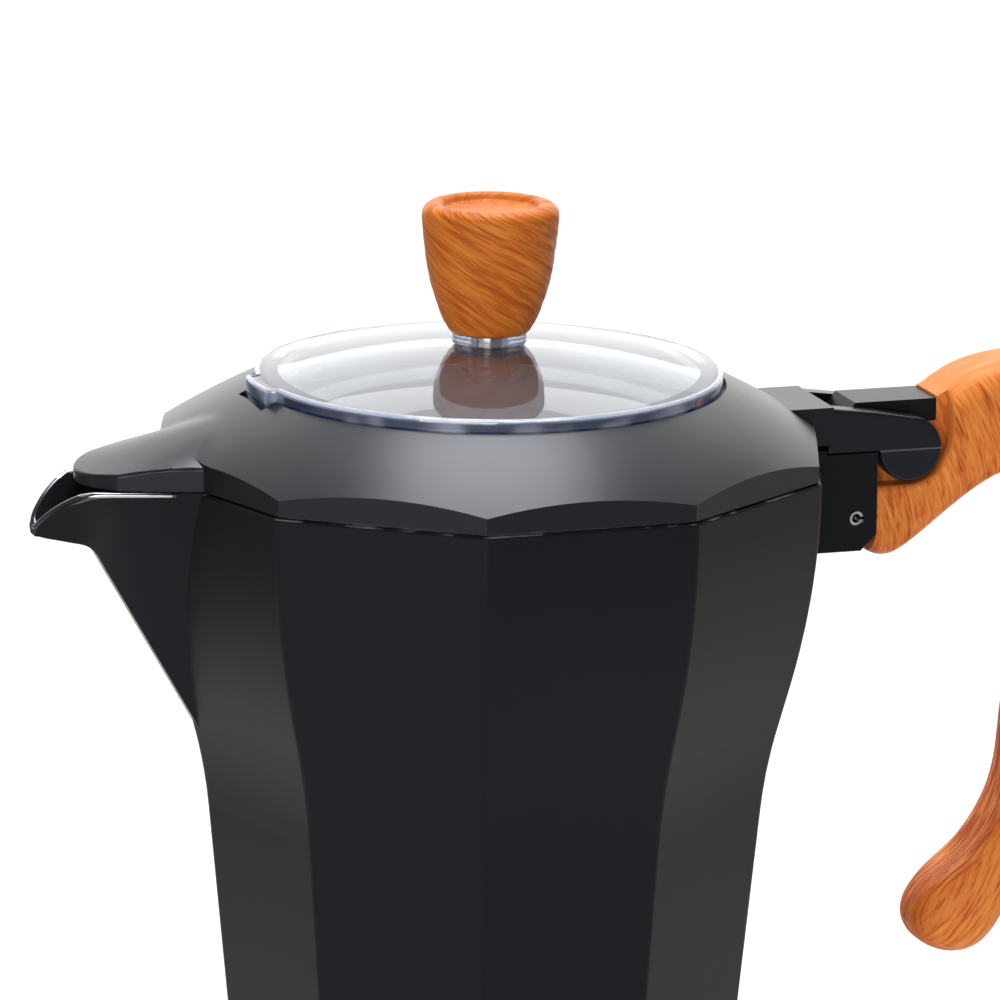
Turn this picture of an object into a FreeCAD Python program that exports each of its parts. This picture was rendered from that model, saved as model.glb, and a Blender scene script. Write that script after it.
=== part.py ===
import FreeCAD, Part
import math
import os

from FreeCAD import Vector

# Stove-top coffee pot: a faceted boiler, a filter funnel, and a faceted collector with spout,
# handle and hinged lid. Origin on the pot's axis at the base, +Z up, spout at -X, handle at +X.
# All sizes are in millimetres.

# Faceted castings
FACETS = 10
CORNER_R = 1.2
WALL = 3.0
BASE_FLAT = 96.0
BASE_EDGE = 1.2
BASE_T = 4.0
BOILER_H = 72.0
WAIST_GAP = 1.5
COLLECTOR_H = 100.5
RIM_FLAT = 104.6
RIM_EDGE = 0.35
SKIRT_EDGE = 1.0
SAME = 1e-6

# Side profile of each casting from its wide edge to its waist: crown arc, slope, easing arc, taper.
# Heights are in millimetres, the steepest lean and the taper in degrees.
BOILER_CROWN = 26.0
BOILER_SLOPE = 4.0
BOILER_EASE = 12.0
BOILER_STEEP_DEG = 12.0
BOILER_TAPER_DEG = 6.0
COLLECTOR_CROWN = 33.0
COLLECTOR_SLOPE = 7.0
COLLECTOR_EASE = 14.0
COLLECTOR_STEEP_DEG = 14.8
COLLECTOR_TAPER_DEG = 5.43

# Threaded neck of the boiler and the seat of the seal above it
NECK_R = 33.0
NECK_BORE_R = 29.0
NECK_H = 14.0
THREAD_GAP = 0.35
GASKET_R = 32.0
GASKET_BORE_R = 26.0
GASKET_T = 3.5
PLATE_R = 30.5
PLATE_T = 0.8
SEAL_GAP = 0.3
HOLE_R = 0.9
HOLE_PITCH = 6.2
HOLE_RINGS = 3

# Filter funnel
FLANGE_T = 1.0
CUP_GAP = 0.4
CUP_T = 0.8
CUP_DEPTH = 30.0
CUP_CONE_H = 10.0
STRAINER_T = 0.6
STRAINER_LEDGE = 0.9
STEM_R = 4.8
STEM_T = 0.8
STEM_SOCKET = 6.0
STEM_FOOT_GAP = 6.0

# Collector floor and coffee column
FLOOR_T = 3.0
FLOOR_RISE = 8.0
COLUMN_R = 6.6
COLUMN_TIP_R = 5.4
COLUMN_BORE_R = 3.8
COLUMN_H = 50.0
COLUMN_SPIGOT = 4.0
COLUMN_STEP = 0.8
COLUMN_BOSS_R = 9.0
OUTLET_W = 4.0
OUTLET_H = 7.0

# Safety valve
VALVE_Z = 46.0
VALVE_BOSS_R = 8.5
VALVE_BOSS_H = 1.2
VALVE_HEX = 11.0
VALVE_HEX_T = 6.0
VALVE_SHANK_R = 3.9
VALVE_SHANK_L = 7.0
VALVE_WASHER_R = 7.0
VALVE_WASHER_T = 1.0
VALVE_BORE_R = 2.9
VALVE_INLET_R = 1.5
VALVE_SEAT_T = 1.5
VALVE_CAP_T = 1.2
PLUNGER_HEAD_R = 2.5
PLUNGER_HEAD_T = 1.2
PLUNGER_STEM_R = 0.9
PLUNGER_OUT = 2.6
SPRING_R = 1.9
SPRING_WIRE = 0.5
SPRING_TURNS = 5

# Lug that carries the handle, and the lid hinge beyond it
LUG_L = 7.8
LUG_H = 17.3
LUG_HALF_W = 8.4
LUG_CHAMFER = 2.6
LUG_BACK = 4.5
TONGUE_HALF_W = 4.7
HINGE_OUT = 5.7
HINGE_DROP = 1.15
HINGE_PIN_R = 1.5
PIN_GAP = 0.05
HOOK_TOP = 6.2
HOOK_T = 3.6
HOOK_END = 11.2
HOOK_BEVEL_TOP = 2.6
HOOK_BEVEL_FOOT = 6.6
HOOK_BEVEL_H = 1.2
EAR_R = 5.3
EAR_GAP = 0.45
EAR_SKIN = 1.0
ARM_TOP = 6.5
ARM_OVER = 0.2
ARM_DROP = 0.6
EAR_TOP = 5.2
EAR_EDGE_R = 0.6
MOVE_GAP = 0.3

# Handle
HANDLE_HALF_W = 8.4
HANDLE_EDGE = 5.0
EDGE_SHARE = 0.92
HANDLE_PIN_X = 3.3
HANDLE_PIN_DROP = 12.0
HANDLE_PIN_R = 1.2
HANDLE_PIN_T = 0.45
HANDLE_PIN_INSET = 0.4
HANDLE_FIT = 0.1

# Stations along the grip: its lower and upper points in the middle plane, measured from the lug's end
# at the seam. The grip keeps its full width up to the last stations, which narrow to the tip.
GRIP_LOWER = (
    (0.1, -18.4), (6.4, -17.7), (12.0, -13.5), (17.3, -9.7), (22.8, -6.9),
    (27.8, -7.0), (31.6, -11.8), (32.6, -19.5), (31.0, -31.0), (27.2, -47.2),
    (25.2, -61.0), (19.9, -70.2), (14.2, -74.6), (10.9, -77.7), (9.8, -79.9),
    (9.4, -81.7),
)
GRIP_UPPER = (
    (0.1, 4.0), (5.6, 6.2), (11.2, 6.5), (15.8, 9.2), (22.2, 11.3),
    (31.0, 11.3), (42.0, 3.4), (47.6, -15.0), (46.8, -33.0), (41.8, -51.0),
    (35.4, -65.4), (27.6, -75.0), (20.6, -86.0), (15.5, -87.1), (12.3, -85.8),
    (10.4, -83.9),
)
GRIP_TIP_SHARES = (0.97, 0.78, 0.52, 0.2)
RECESS_R = 7.8
RECESS_SHIFT = 0.3
RECESS_GAP = 0.55
RECESS_LEAN = 0.2
RECESS_EDGE_R = 1.0

# Spout, measured outward from the rim's corner: a steep keel that bends into a shallow lip
SPOUT_REACH = 19.5
SPOUT_ROOT = 9.0
SPOUT_STATIONS = 19
SPOUT_HALF_W = 11.8
SPOUT_NARROWING = 0.275
SPOUT_DEPTH = 28.2
SPOUT_STEEP = 1.755
SPOUT_LIP_DEPTH = 12.6
SPOUT_LIP_SLOPE = 0.24
SPOUT_BEND = 0.6
SPOUT_KEEL_HALF_W = 1.4
SPOUT_WALL = 1.5
SPOUT_FLOOR = 1.9
LIP_START = 12.0
LIP_MID = (16.4, 2.6)
LIP_DROP = 6.7

# Lid
LID_INSET = 0.5
LID_GAP = 0.3
LID_CUSP_H = 2.8
LID_TOP_H = 12.2
LID_CROWN = 0.25
LID_T = 2.2
WINDOW_HOLE_R = 37.6
WINDOW_GAP = 0.7
WINDOW_EDGE_H = 14.1
WINDOW_APEX_H = 19.0
WINDOW_T = 3.0
SEAT_H = 10.9
SEAT_T = 2.0
SEAT_W = 2.8
LOBE_HALF_W = 5.6
LOBE_OUT = 1.8
SNAPS = 4
SNAP_W = 6.0
SNAP_BARB = 0.9
COVER_REACH = 12.6
COVER_ROOT = 14.0
COVER_ROOT_R = 10.0
COVER_EDGE_R = 0.6
COVER_HALF_W = 12.8
COVER_TIP_HALF_W = 8.8
COVER_SIDE_H = 1.6
COVER_SIDE_SHARE = 0.45
COVER_RIDGE_H = 5.9
COVER_TIP_RIDGE_H = 2.0
COVER_T = 1.2

# Knob and its screw
WINDOW_BOSS_R = 5.9
WINDOW_BOSS_H = 1.4
KNOB_FOOT_R = 6.5
KNOB_FOOT_EDGE = 0.3
KNOB_SIDE = ((7.5, 2.1), (8.65, 5.1), (9.55, 8.1), (10.25, 12.1))
KNOB_H = 20.7
KNOB_R = 10.9
KNOB_RIM_R = 8.8
KNOB_DISH_R = 7.4
KNOB_DISH = 1.2
SCREW_R = 1.95
SCREW_HEAD_R = 3.6
SCREW_HEAD_T = 2.2
SCREW_L = 17.0
SCREW_GAP = 0.1
SCREW_PAD_R = 4.9
SCREW_PAD_T = 3.6
KNOB_WASHER_R = 4.7
KNOB_WASHER_T = 0.8
INSERT_R = 3.4
INSERT_L = 11.0
INSERT_START = 1.0

# Heights and places that follow from the sizes above
HALF_ANGLE = math.pi / FACETS
NECK_TOP = BOILER_H + NECK_H
FLANGE_TOP = NECK_TOP + FLANGE_T
GASKET_TOP = FLANGE_TOP + GASKET_T
LEDGE_Z = GASKET_TOP + PLATE_T
COLLECTOR_Z = BOILER_H + WAIST_GAP
SEAM_Z = COLLECTOR_Z + COLLECTOR_H
RIM_R = RIM_FLAT / 2 / math.cos(HALF_ANGLE)
LID_FLAT = RIM_FLAT - 2 * LID_INSET
LUG_END = RIM_R + LUG_L
HINGE_X = LUG_END + HINGE_OUT
HINGE_Z = SEAM_Z - HINGE_DROP
HOOK_END_X = LUG_END + HOOK_END
EAR_IN = TONGUE_HALF_W + EAR_GAP
FLOOR_Z = LEDGE_Z + FLOOR_T
BOSS_TOP = FLOOR_Z + FLOOR_RISE
CUP_R = NECK_BORE_R - CUP_GAP
STRAINER_Z = FLANGE_TOP - CUP_DEPTH
CONE_FOOT_Z = STRAINER_Z - STRAINER_LEDGE - CUP_CONE_H
LID_Z = SEAM_Z + LID_GAP
SEAT_Z = SEAM_Z + SEAT_H
BOSS_FOOT_Z = SEAM_Z + WINDOW_APEX_H
KNOB_Z = BOSS_FOOT_Z + WINDOW_BOSS_H
PAD_Z = BOSS_FOOT_Z - WINDOW_T - SCREW_PAD_T
VALVE_FACE = VALVE_WASHER_T + VALVE_HEX_T
VALVE_SEAT = VALVE_SEAT_T - VALVE_SHANK_L
VALVE_CAP = VALVE_FACE - VALVE_CAP_T
HANDLE_PIN_AT = Vector(LUG_END - HANDLE_PIN_X, 0, SEAM_Z - HANDLE_PIN_DROP)
Z_AXIS = Vector(0, 0, 1)
Y_AXIS = Vector(0, 1, 0)
ORIGIN = Vector(0, 0, 0)


class Flare:
    """Half the width across flats of a casting, falling from its wide edge to its waist."""

    def __init__(self, wide, height, crown, slope, ease, steep, taper):
        self.wide = wide
        self.height = height
        self.crown = crown
        self.slope = slope
        self.ease = ease
        self.steep = math.radians(steep)
        self.taper = math.radians(taper)
        self.crown_r = crown / math.sin(self.steep)
        self.ease_r = ease / (math.sin(self.steep) - math.sin(self.taper))

    def half(self, drop):
        """Half width at a distance from the wide edge: crown arc, slope, easing arc, taper."""
        arc = min(drop, self.crown)
        width = self.wide / 2 - self.crown_r + math.sqrt(self.crown_r ** 2 - arc ** 2)
        line = min(max(drop - self.crown, 0.0), self.slope)
        width -= line * math.tan(self.steep)
        turn = min(max(drop - self.crown - self.slope, 0.0), self.ease)
        angle = math.asin(math.sin(self.steep) - turn / self.ease_r)
        width -= self.ease_r * (math.cos(angle) - math.cos(self.steep))
        return width - max(drop - self.crown - self.slope - self.ease, 0.0) * math.tan(self.taper)

    def edges(self, z_wide, way, inset, start, end):
        """Profile edges in the XZ plane between two distances from the wide edge."""
        def point(drop):
            return Vector(self.half(drop) - inset, 0, z_wide + way * drop)

        marks = [0.0, self.crown, self.crown + self.slope, self.crown + self.slope + self.ease, self.height]
        shapes = []
        for index, (low, high) in enumerate(zip(marks, marks[1:])):
            low, high = max(low, start), min(high, end)
            if high - low < SAME:
                continue
            if index in (0, 2):
                curve = Part.Arc(point(low), point((low + high) / 2), point(high))
            else:
                curve = Part.LineSegment(point(low), point(high))
            shapes.append(curve.toShape())
        return shapes


BOILER = Flare(BASE_FLAT, BOILER_H, BOILER_CROWN, BOILER_SLOPE, BOILER_EASE, BOILER_STEEP_DEG,
               BOILER_TAPER_DEG)
COLLECTOR = Flare(RIM_FLAT, COLLECTOR_H, COLLECTOR_CROWN, COLLECTOR_SLOPE, COLLECTOR_EASE,
                  COLLECTOR_STEEP_DEG, COLLECTOR_TAPER_DEG)
VALVE_Y = -(BOILER.half(VALVE_Z) + VALVE_BOSS_H)


def outline(points):
    """Closed face from corner points."""
    return Part.Face(Part.makePolygon(list(points) + [points[0]]))


def turned(points):
    """Solid of revolution about Z from (radius, height) corners."""
    return outline([Vector(r, 0, z) for r, z in points]).revolve(ORIGIN, Z_AXIS, 360)


def turned_edges(edges):
    """Solid of revolution about Z from joined edges in the XZ plane, closed along the axis."""
    wire = Part.Wire(Part.__sortEdges__(edges))
    first, last = wire.OrderedVertexes[0].Point, wire.OrderedVertexes[-1].Point
    corners = [last, Vector(0, 0, last.z), Vector(0, 0, first.z), first]
    closing = [Part.makeLine(a, b) for a, b in zip(corners, corners[1:]) if a.distanceToPoint(b) > SAME]
    return Part.Face(Part.Wire(Part.__sortEdges__(edges + closing))).revolve(ORIGIN, Z_AXIS, 360)


def bowl(radius, z_edge, z_middle):
    """Arc in the XZ plane from an edge at a radius to the axis, domed or dished."""
    rise = z_middle - z_edge
    bend = (radius ** 2 + rise ** 2) / (2 * rise)
    half_way = z_middle - bend + math.copysign(math.sqrt(bend ** 2 - radius ** 2 / 4), bend)
    points = [Vector(radius, 0, z_edge), Vector(radius / 2, 0, half_way), Vector(0, 0, z_middle)]
    return Part.Arc(*points).toShape()


def disc(radius, z_low, z_high):
    """Upright cylinder on the pot's axis."""
    return Part.makeCylinder(radius, z_high - z_low, Vector(0, 0, z_low))


def ring(outer, inner, z_low, z_high):
    """Upright tube on the pot's axis."""
    return disc(outer, z_low, z_high).cut(disc(inner, z_low, z_high))


def across(radius, x, z, half_length):
    """Cylinder along Y, centred on the pot's middle plane."""
    return Part.makeCylinder(radius, 2 * half_length, Vector(x, -half_length, z), Y_AXIS)


def slab(corners, y_low, y_high):
    """Plate between two Y planes from (x, z) corners."""
    return outline([Vector(x, y_low, z) for x, z in corners]).extrude(Vector(0, y_high - y_low, 0))


def both_sides(shape):
    """The shape and its mirror image across the middle plane."""
    return shape.fuse(shape.mirror(ORIGIN, Y_AXIS))


def faceted(edges):
    """Casting with flat sides: prisms of one profile, turned about the axis and intersected."""
    mirrored = [edge.mirror(ORIGIN, Vector(1, 0, 0)) for edge in edges]
    wire = Part.Wire(Part.__sortEdges__(edges))
    ends = [vertex.Point for vertex in (wire.OrderedVertexes[0], wire.OrderedVertexes[-1])]
    caps = [Part.makeLine(p, Vector(-p.x, 0, p.z)) for p in ends]
    face = Part.Face(Part.Wire(Part.__sortEdges__(edges + mirrored + caps)))
    reach = max(BASE_FLAT, RIM_FLAT)
    prism = face.extrude(Vector(0, 2 * reach, 0))
    prism.translate(Vector(0, -reach, 0))
    turns = [360.0 / FACETS * (count + 0.5) for count in range(FACETS // 2)]
    blocks = [prism.rotated(ORIGIN, Z_AXIS, turn) for turn in turns]
    solid = blocks[0]
    for block in blocks[1:]:
        solid = solid.common(block)
    return solid.removeSplitter()


def upright(solid):
    """Edges that run up the corners of a faceted casting."""
    return [e for e in solid.Edges if abs(e.Vertexes[0].Z - e.Vertexes[-1].Z) > SAME]


def level(solid, z):
    """Edges that lie in one level plane."""
    return [e for e in solid.Edges if max(abs(v.Z - z) for v in e.Vertexes) < SAME]


def boiler():
    """Lower vessel: faceted outside, round inside, with a neck and a boss for the valve."""
    body = faceted(BOILER.edges(0, 1, 0.0, 0.0, BOILER_H))
    body = body.makeChamfer(BASE_EDGE, level(body, 0.0))
    body = body.makeFillet(CORNER_R, upright(body))
    body = body.fuse(disc(NECK_R, BOILER_H - WALL, NECK_TOP))
    boss = Part.makeCylinder(VALVE_BOSS_R, -VALVE_Y, Vector(0, VALVE_Y, VALVE_Z), Y_AXIS)
    shoulder = BOILER_H - WALL - (BOILER.half(BOILER_H) - WALL - NECK_BORE_R)
    room = turned_edges(BOILER.edges(0, 1, WALL, BASE_T, shoulder))
    top_r = BOILER.half(shoulder) - WALL
    slope = Part.makeCone(top_r, NECK_BORE_R, BOILER_H - WALL - shoulder, Vector(0, 0, shoulder))
    hollow = room.fuse([slope, disc(NECK_BORE_R, BOILER_H - WALL, NECK_TOP)])
    hole = Part.makeCylinder(VALVE_SHANK_R, -VALVE_Y, Vector(0, VALVE_Y, VALVE_Z), Y_AXIS)
    return body.fuse(boss).cut(hollow).cut(hole).removeSplitter()


def valve_place(shape):
    """Stand a shape made along +Z on the valve boss, pointing outward."""
    shape.rotate(ORIGIN, Vector(1, 0, 0), 90)
    shape.translate(Vector(0, VALVE_Y, VALVE_Z))
    return shape


def valve_washer():
    """Flat seal between the valve's hexagon and the boss."""
    return valve_place(ring(VALVE_WASHER_R, VALVE_SHANK_R, 0, VALVE_WASHER_T))


def valve_body():
    """Hexagon head with a hollow shank that passes through the boiler wall."""
    corner = VALVE_HEX / 2 / math.cos(math.pi / 6)
    points = [Vector(corner * math.cos(a), corner * math.sin(a), VALVE_WASHER_T)
              for a in (math.pi / 3 * count for count in range(6))]
    head = outline(points).extrude(Vector(0, 0, VALVE_HEX_T))
    body = head.fuse(disc(VALVE_SHANK_R, -VALVE_SHANK_L, VALVE_WASHER_T))
    body = body.cut(disc(VALVE_BORE_R, VALVE_SEAT, VALVE_FACE))
    return valve_place(body.cut(disc(VALVE_INLET_R, -VALVE_SHANK_L, VALVE_SEAT)))


def valve_cap():
    """Ring pressed into the valve's mouth, which guides the plunger and holds the spring."""
    return valve_place(ring(VALVE_BORE_R, PLUNGER_STEM_R + PIN_GAP, VALVE_CAP, VALVE_FACE))


def valve_plunger():
    """Plunger that closes the inlet and stands out of the cap."""
    head = disc(PLUNGER_HEAD_R, VALVE_SEAT, VALVE_SEAT + PLUNGER_HEAD_T)
    stem = disc(PLUNGER_STEM_R, VALVE_SEAT, VALVE_FACE + PLUNGER_OUT)
    tip = [e for e in stem.Edges if abs(e.BoundBox.ZMin - VALVE_FACE - PLUNGER_OUT) < SAME]
    return valve_place(head.fuse(stem.makeFillet(PLUNGER_STEM_R / 2, tip)).removeSplitter())


def helix_point(angle, z_low, rise):
    """Point of the spring's centre line and its direction at an angle."""
    along = Vector(SPRING_R * math.cos(angle), SPRING_R * math.sin(angle), z_low + rise * angle)
    way = Vector(-SPRING_R * math.sin(angle), SPRING_R * math.cos(angle), rise)
    return along, way.normalize()


def biarc(start, start_way, end, end_way):
    """Two tangent arcs that join two points with given directions."""
    chord = end - start
    both = start_way + end_way
    a = 2 * (1 - start_way.dot(end_way))
    b = 2 * chord.dot(both)
    reach = (-b + math.sqrt(b * b + 4 * a * chord.dot(chord))) / (2 * a)
    joint = (start + end + (start_way - end_way) * reach) * 0.5
    arcs = []
    for point, way, other in ((start, start_way, joint), (end, end_way * -1, joint)):
        span = other - point
        side = (span - way * span.dot(way)).normalize()
        radius = span.dot(span) / (2 * span.dot(side))
        centre = point + side * radius
        middle = centre + ((point + other) * 0.5 - centre).normalize() * radius
        arcs.append(Part.Arc(point, middle, other).toShape())
    return [arcs[0], arcs[1].reversed()]


def valve_spring():
    """Coil between the plunger's head and the cap."""
    low = VALVE_SEAT + PLUNGER_HEAD_T + SPRING_WIRE / 2
    high = VALVE_CAP - SPRING_WIRE / 2
    rise = (high - low) / (2 * math.pi * SPRING_TURNS)
    marks = [helix_point(math.pi * count, low, rise) for count in range(2 * SPRING_TURNS + 1)]
    edges = []
    for (p, t), (q, u) in zip(marks, marks[1:]):
        edges += biarc(p, t, q, u)
    gap = min(p.distanceToPoint(q) for (p, _), (q, _) in zip(marks, marks[2:])) - SPRING_WIRE
    print(f"valve_spring: least gap between turns {gap:.2f} mm")
    path = Part.Wire(edges)
    section = Part.Wire(Part.makeCircle(SPRING_WIRE / 2 - PIN_GAP, marks[0][0], marks[0][1]))
    return valve_place(path.makePipeShell([section], True, False))


def holes(z_low, z_high):
    """Round holes in rings about the axis, as in a pierced filter."""
    places = [ORIGIN]
    for count in range(1, HOLE_RINGS + 1):
        for index in range(6 * count):
            angle = 2 * math.pi * index / (6 * count)
            radius = count * HOLE_PITCH
            places.append(Vector(radius * math.cos(angle), radius * math.sin(angle), 0))
    pins = [Part.makeCylinder(HOLE_R, z_high - z_low, p + Vector(0, 0, z_low)) for p in places]
    return Part.makeCompound(pins)


def funnel_cup():
    """Coffee basket: flange on the neck, straight wall, ledge for the strainer, cone to the stem."""
    inner = CUP_R - CUP_T
    ledge = inner - STRAINER_LEDGE
    socket = STEM_R + STEM_T
    foot = CONE_FOOT_Z - STEM_SOCKET
    return turned([
        (GASKET_R, FLANGE_TOP), (GASKET_R, NECK_TOP), (CUP_R, NECK_TOP),
        (CUP_R, STRAINER_Z - STRAINER_LEDGE), (socket, CONE_FOOT_Z), (socket, foot), (STEM_R, foot),
        (STEM_R, CONE_FOOT_Z + CUP_T), (ledge, STRAINER_Z - STRAINER_LEDGE + CUP_T),
        (ledge, STRAINER_Z), (inner, STRAINER_Z), (inner, FLANGE_TOP),
    ])


def funnel_strainer():
    """Pierced disc on the ledge at the bottom of the basket."""
    top = STRAINER_Z + STRAINER_T
    return disc(CUP_R - CUP_T - CUP_GAP / 2, STRAINER_Z, top).cut(holes(STRAINER_Z, top))


def funnel_stem():
    """Tube that dips into the water, pressed into the basket's socket."""
    return ring(STEM_R, STEM_R - STEM_T, BASE_T + STEM_FOOT_GAP, CONE_FOOT_Z)


def gasket():
    """Flat rubber ring between the basket's flange and the collector."""
    return ring(GASKET_R, GASKET_BORE_R, FLANGE_TOP, GASKET_TOP)


def filter_plate():
    """Pierced plate held above the gasket."""
    return disc(PLATE_R, GASKET_TOP, LEDGE_Z).cut(holes(GASKET_TOP, LEDGE_Z))


def keel_drop(out):
    """Depth of the spout's keel below the rim: two straight runs with a rounded bend between."""
    steep = SPOUT_DEPTH - SPOUT_STEEP * out
    lip = SPOUT_LIP_DEPTH - SPOUT_LIP_SLOPE * out
    return lip + SPOUT_BEND * math.log(1 + math.exp((steep - lip) / SPOUT_BEND))


def spout_loft(inset, floor):
    """Beak with a V section, open upward, drawn in by a wall for the channel."""
    foot = SPOUT_KEEL_HALF_W - inset / 2
    wires = []
    for index in range(SPOUT_STATIONS):
        out = (SPOUT_REACH + SPOUT_ROOT) * index / (SPOUT_STATIONS - 1) - SPOUT_ROOT
        keel = keel_drop(out) - floor
        half = SPOUT_HALF_W - SPOUT_NARROWING * out - inset
        top = half + (half - foot) / keel * LID_CUSP_H
        corners = [(-top, LID_CUSP_H), (-foot, -keel), (foot, -keel), (top, LID_CUSP_H)]
        points = [Vector(-RIM_R - out, y, SEAM_Z + z) for y, z in corners]
        wires.append(Part.makePolygon(points + [points[0]]))
    return Part.makeLoft(wires, True, False)


def spout():
    """Outside of the spout, with its rim level with the seam and its lip curving down to the tip."""
    def at(out, drop):
        return Vector(-RIM_R - out, 0, SEAM_Z - drop)

    tip = at(SPOUT_REACH, LIP_DROP)
    lip = Part.Arc(at(LIP_START, 0), at(*LIP_MID), tip).toShape()
    corners = [tip, at(SPOUT_REACH, COLLECTOR_H), at(-SPOUT_ROOT, COLLECTOR_H), at(-SPOUT_ROOT, 0),
               at(LIP_START, 0)]
    sides = [Part.makeLine(p, q) for p, q in zip(corners, corners[1:])]
    side_view = Part.Face(Part.Wire(Part.__sortEdges__([lip] + sides))).extrude(Vector(0, RIM_FLAT, 0))
    side_view.translate(Vector(0, -RIM_FLAT / 2, 0))
    return spout_loft(0.0, 0.0).common(side_view)


def lug():
    """Two cheeks for the handle's tongue, with a hook over it that reaches past the hinge."""
    low, high = SEAM_Z - LUG_H, SEAM_Z - HINGE_DROP - MOVE_GAP / 2
    root = RIM_R - WALL - LUG_BACK
    cheek = slab([(root, low), (LUG_END - LUG_CHAMFER, low), (LUG_END, low + LUG_CHAMFER), (LUG_END, high),
                  (root, high)], TONGUE_HALF_W + HANDLE_FIT, LUG_HALF_W)
    hook_low, hook_top = SEAM_Z + HOOK_TOP - HOOK_T, SEAM_Z + HOOK_TOP
    foot = HINGE_Z - EAR_R
    bevel, sill = LUG_END - HOOK_BEVEL_FOOT, SEAM_Z - RIM_EDGE - MOVE_GAP
    hook = slab([(root, foot), (LUG_END, foot), (LUG_END, hook_low), (HOOK_END_X, hook_low),
                 (HOOK_END_X, hook_top), (LUG_END - HOOK_BEVEL_TOP, hook_top), (bevel, SEAM_Z + HOOK_BEVEL_H),
                 (bevel, sill), (root, sill)], -TONGUE_HALF_W, TONGUE_HALF_W)
    back = slab([(root, low), (RIM_R, low), (RIM_R, foot), (root, foot)],
                -TONGUE_HALF_W - HANDLE_FIT, TONGUE_HALF_W + HANDLE_FIT)
    hook = hook.fuse(slab([(root, foot), (LUG_END, foot), (LUG_END, high), (root, high)],
                          -TONGUE_HALF_W - HANDLE_FIT, TONGUE_HALF_W + HANDLE_FIT))
    pad_x, pad_top = RIM_R - ARM_DROP - MOVE_GAP, SEAM_Z - RIM_EDGE - MOVE_GAP / 2
    pad = slab([(root, high), (pad_x, high), (pad_x, pad_top), (root, pad_top)], TONGUE_HALF_W, LUG_HALF_W)
    return both_sides(cheek.fuse(pad)).fuse([hook, back])


def collector():
    """Upper vessel: faceted body with spout, lug, skirt for the neck and a raised floor."""
    body = faceted(COLLECTOR.edges(SEAM_Z, -1, 0.0, 0.0, COLLECTOR_H))
    body = body.makeChamfer(SKIRT_EDGE, level(body, COLLECTOR_Z))
    body = body.makeChamfer(RIM_EDGE, level(body, SEAM_Z))
    body = body.makeFillet(CORNER_R, upright(body))
    body = body.fuse(spout()).fuse(lug())
    drop = SEAM_Z - FLOOR_Z
    room = turned_edges(COLLECTOR.edges(SEAM_Z, -1, WALL, 0.0, drop))
    floor_r = COLLECTOR.half(drop) - WALL
    mound = Part.makeCone(floor_r, COLUMN_BOSS_R, FLOOR_RISE, Vector(0, 0, FLOOR_Z))
    dome = Part.makeCone(GASKET_BORE_R, COLUMN_BORE_R, FLOOR_RISE - COLUMN_SPIGOT + FLOOR_T,
                         Vector(0, 0, LEDGE_Z))
    body = body.cut(room.cut(mound))
    for space in (disc(NECK_R + THREAD_GAP, COLLECTOR_Z, FLANGE_TOP), dome,
                  disc(GASKET_R + SEAL_GAP, FLANGE_TOP, LEDGE_Z),
                  disc(COLUMN_R - COLUMN_STEP, BOSS_TOP - COLUMN_SPIGOT, BOSS_TOP)):
        body = body.cut(space)
    body = body.cut(spout_loft(SPOUT_WALL, SPOUT_FLOOR))
    body = body.cut(across(HANDLE_PIN_R, HANDLE_PIN_AT.x, HANDLE_PIN_AT.z, LUG_HALF_W))
    return body.removeSplitter()


def coffee_column():
    """Tapered standpipe pressed into the floor, with side outlets under a rounded top."""
    spigot = disc(COLUMN_R - COLUMN_STEP, BOSS_TOP - COLUMN_SPIGOT, BOSS_TOP)
    pipe = Part.makeCone(COLUMN_R, COLUMN_TIP_R, COLUMN_H, Vector(0, 0, BOSS_TOP))
    top = [e for e in pipe.Edges if abs(e.BoundBox.ZMin - BOSS_TOP - COLUMN_H) < SAME]
    pipe = pipe.makeFillet(COLUMN_TIP_R / 2, top).fuse(spigot)
    bore_top = BOSS_TOP + COLUMN_H - WALL
    pipe = pipe.cut(disc(COLUMN_BORE_R, BOSS_TOP - COLUMN_SPIGOT, bore_top))
    outlet = Part.makeBox(OUTLET_W, 4 * COLUMN_R, OUTLET_H,
                          Vector(-OUTLET_W / 2, -2 * COLUMN_R, bore_top - OUTLET_H))
    return pipe.cut(outlet).removeSplitter()


def dome_solid(inset, z_low):
    """Turned dome of the lid down to a level, drawn in by a thickness."""
    cusp_r = LID_FLAT / 2 / math.cos(HALF_ANGLE)
    a = Vector(cusp_r, 0, SEAM_Z + LID_CUSP_H - inset)
    b = Vector(WINDOW_HOLE_R, 0, SEAM_Z + LID_TOP_H - inset)
    middle = (a + b) * 0.5 + Vector(LID_CROWN, 0, LID_CROWN)
    foot = Vector(cusp_r, 0, z_low)
    return turned_edges([Part.makeLine(foot, a), Part.Arc(a, middle, b).toShape()])


def lid_prism(inset, z_low, z_high):
    """Upright prism with the lid's flat sides."""
    half = LID_FLAT / 2 - inset
    return faceted([Part.makeLine(Vector(half, 0, z_low), Vector(half, 0, z_high))])


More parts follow.
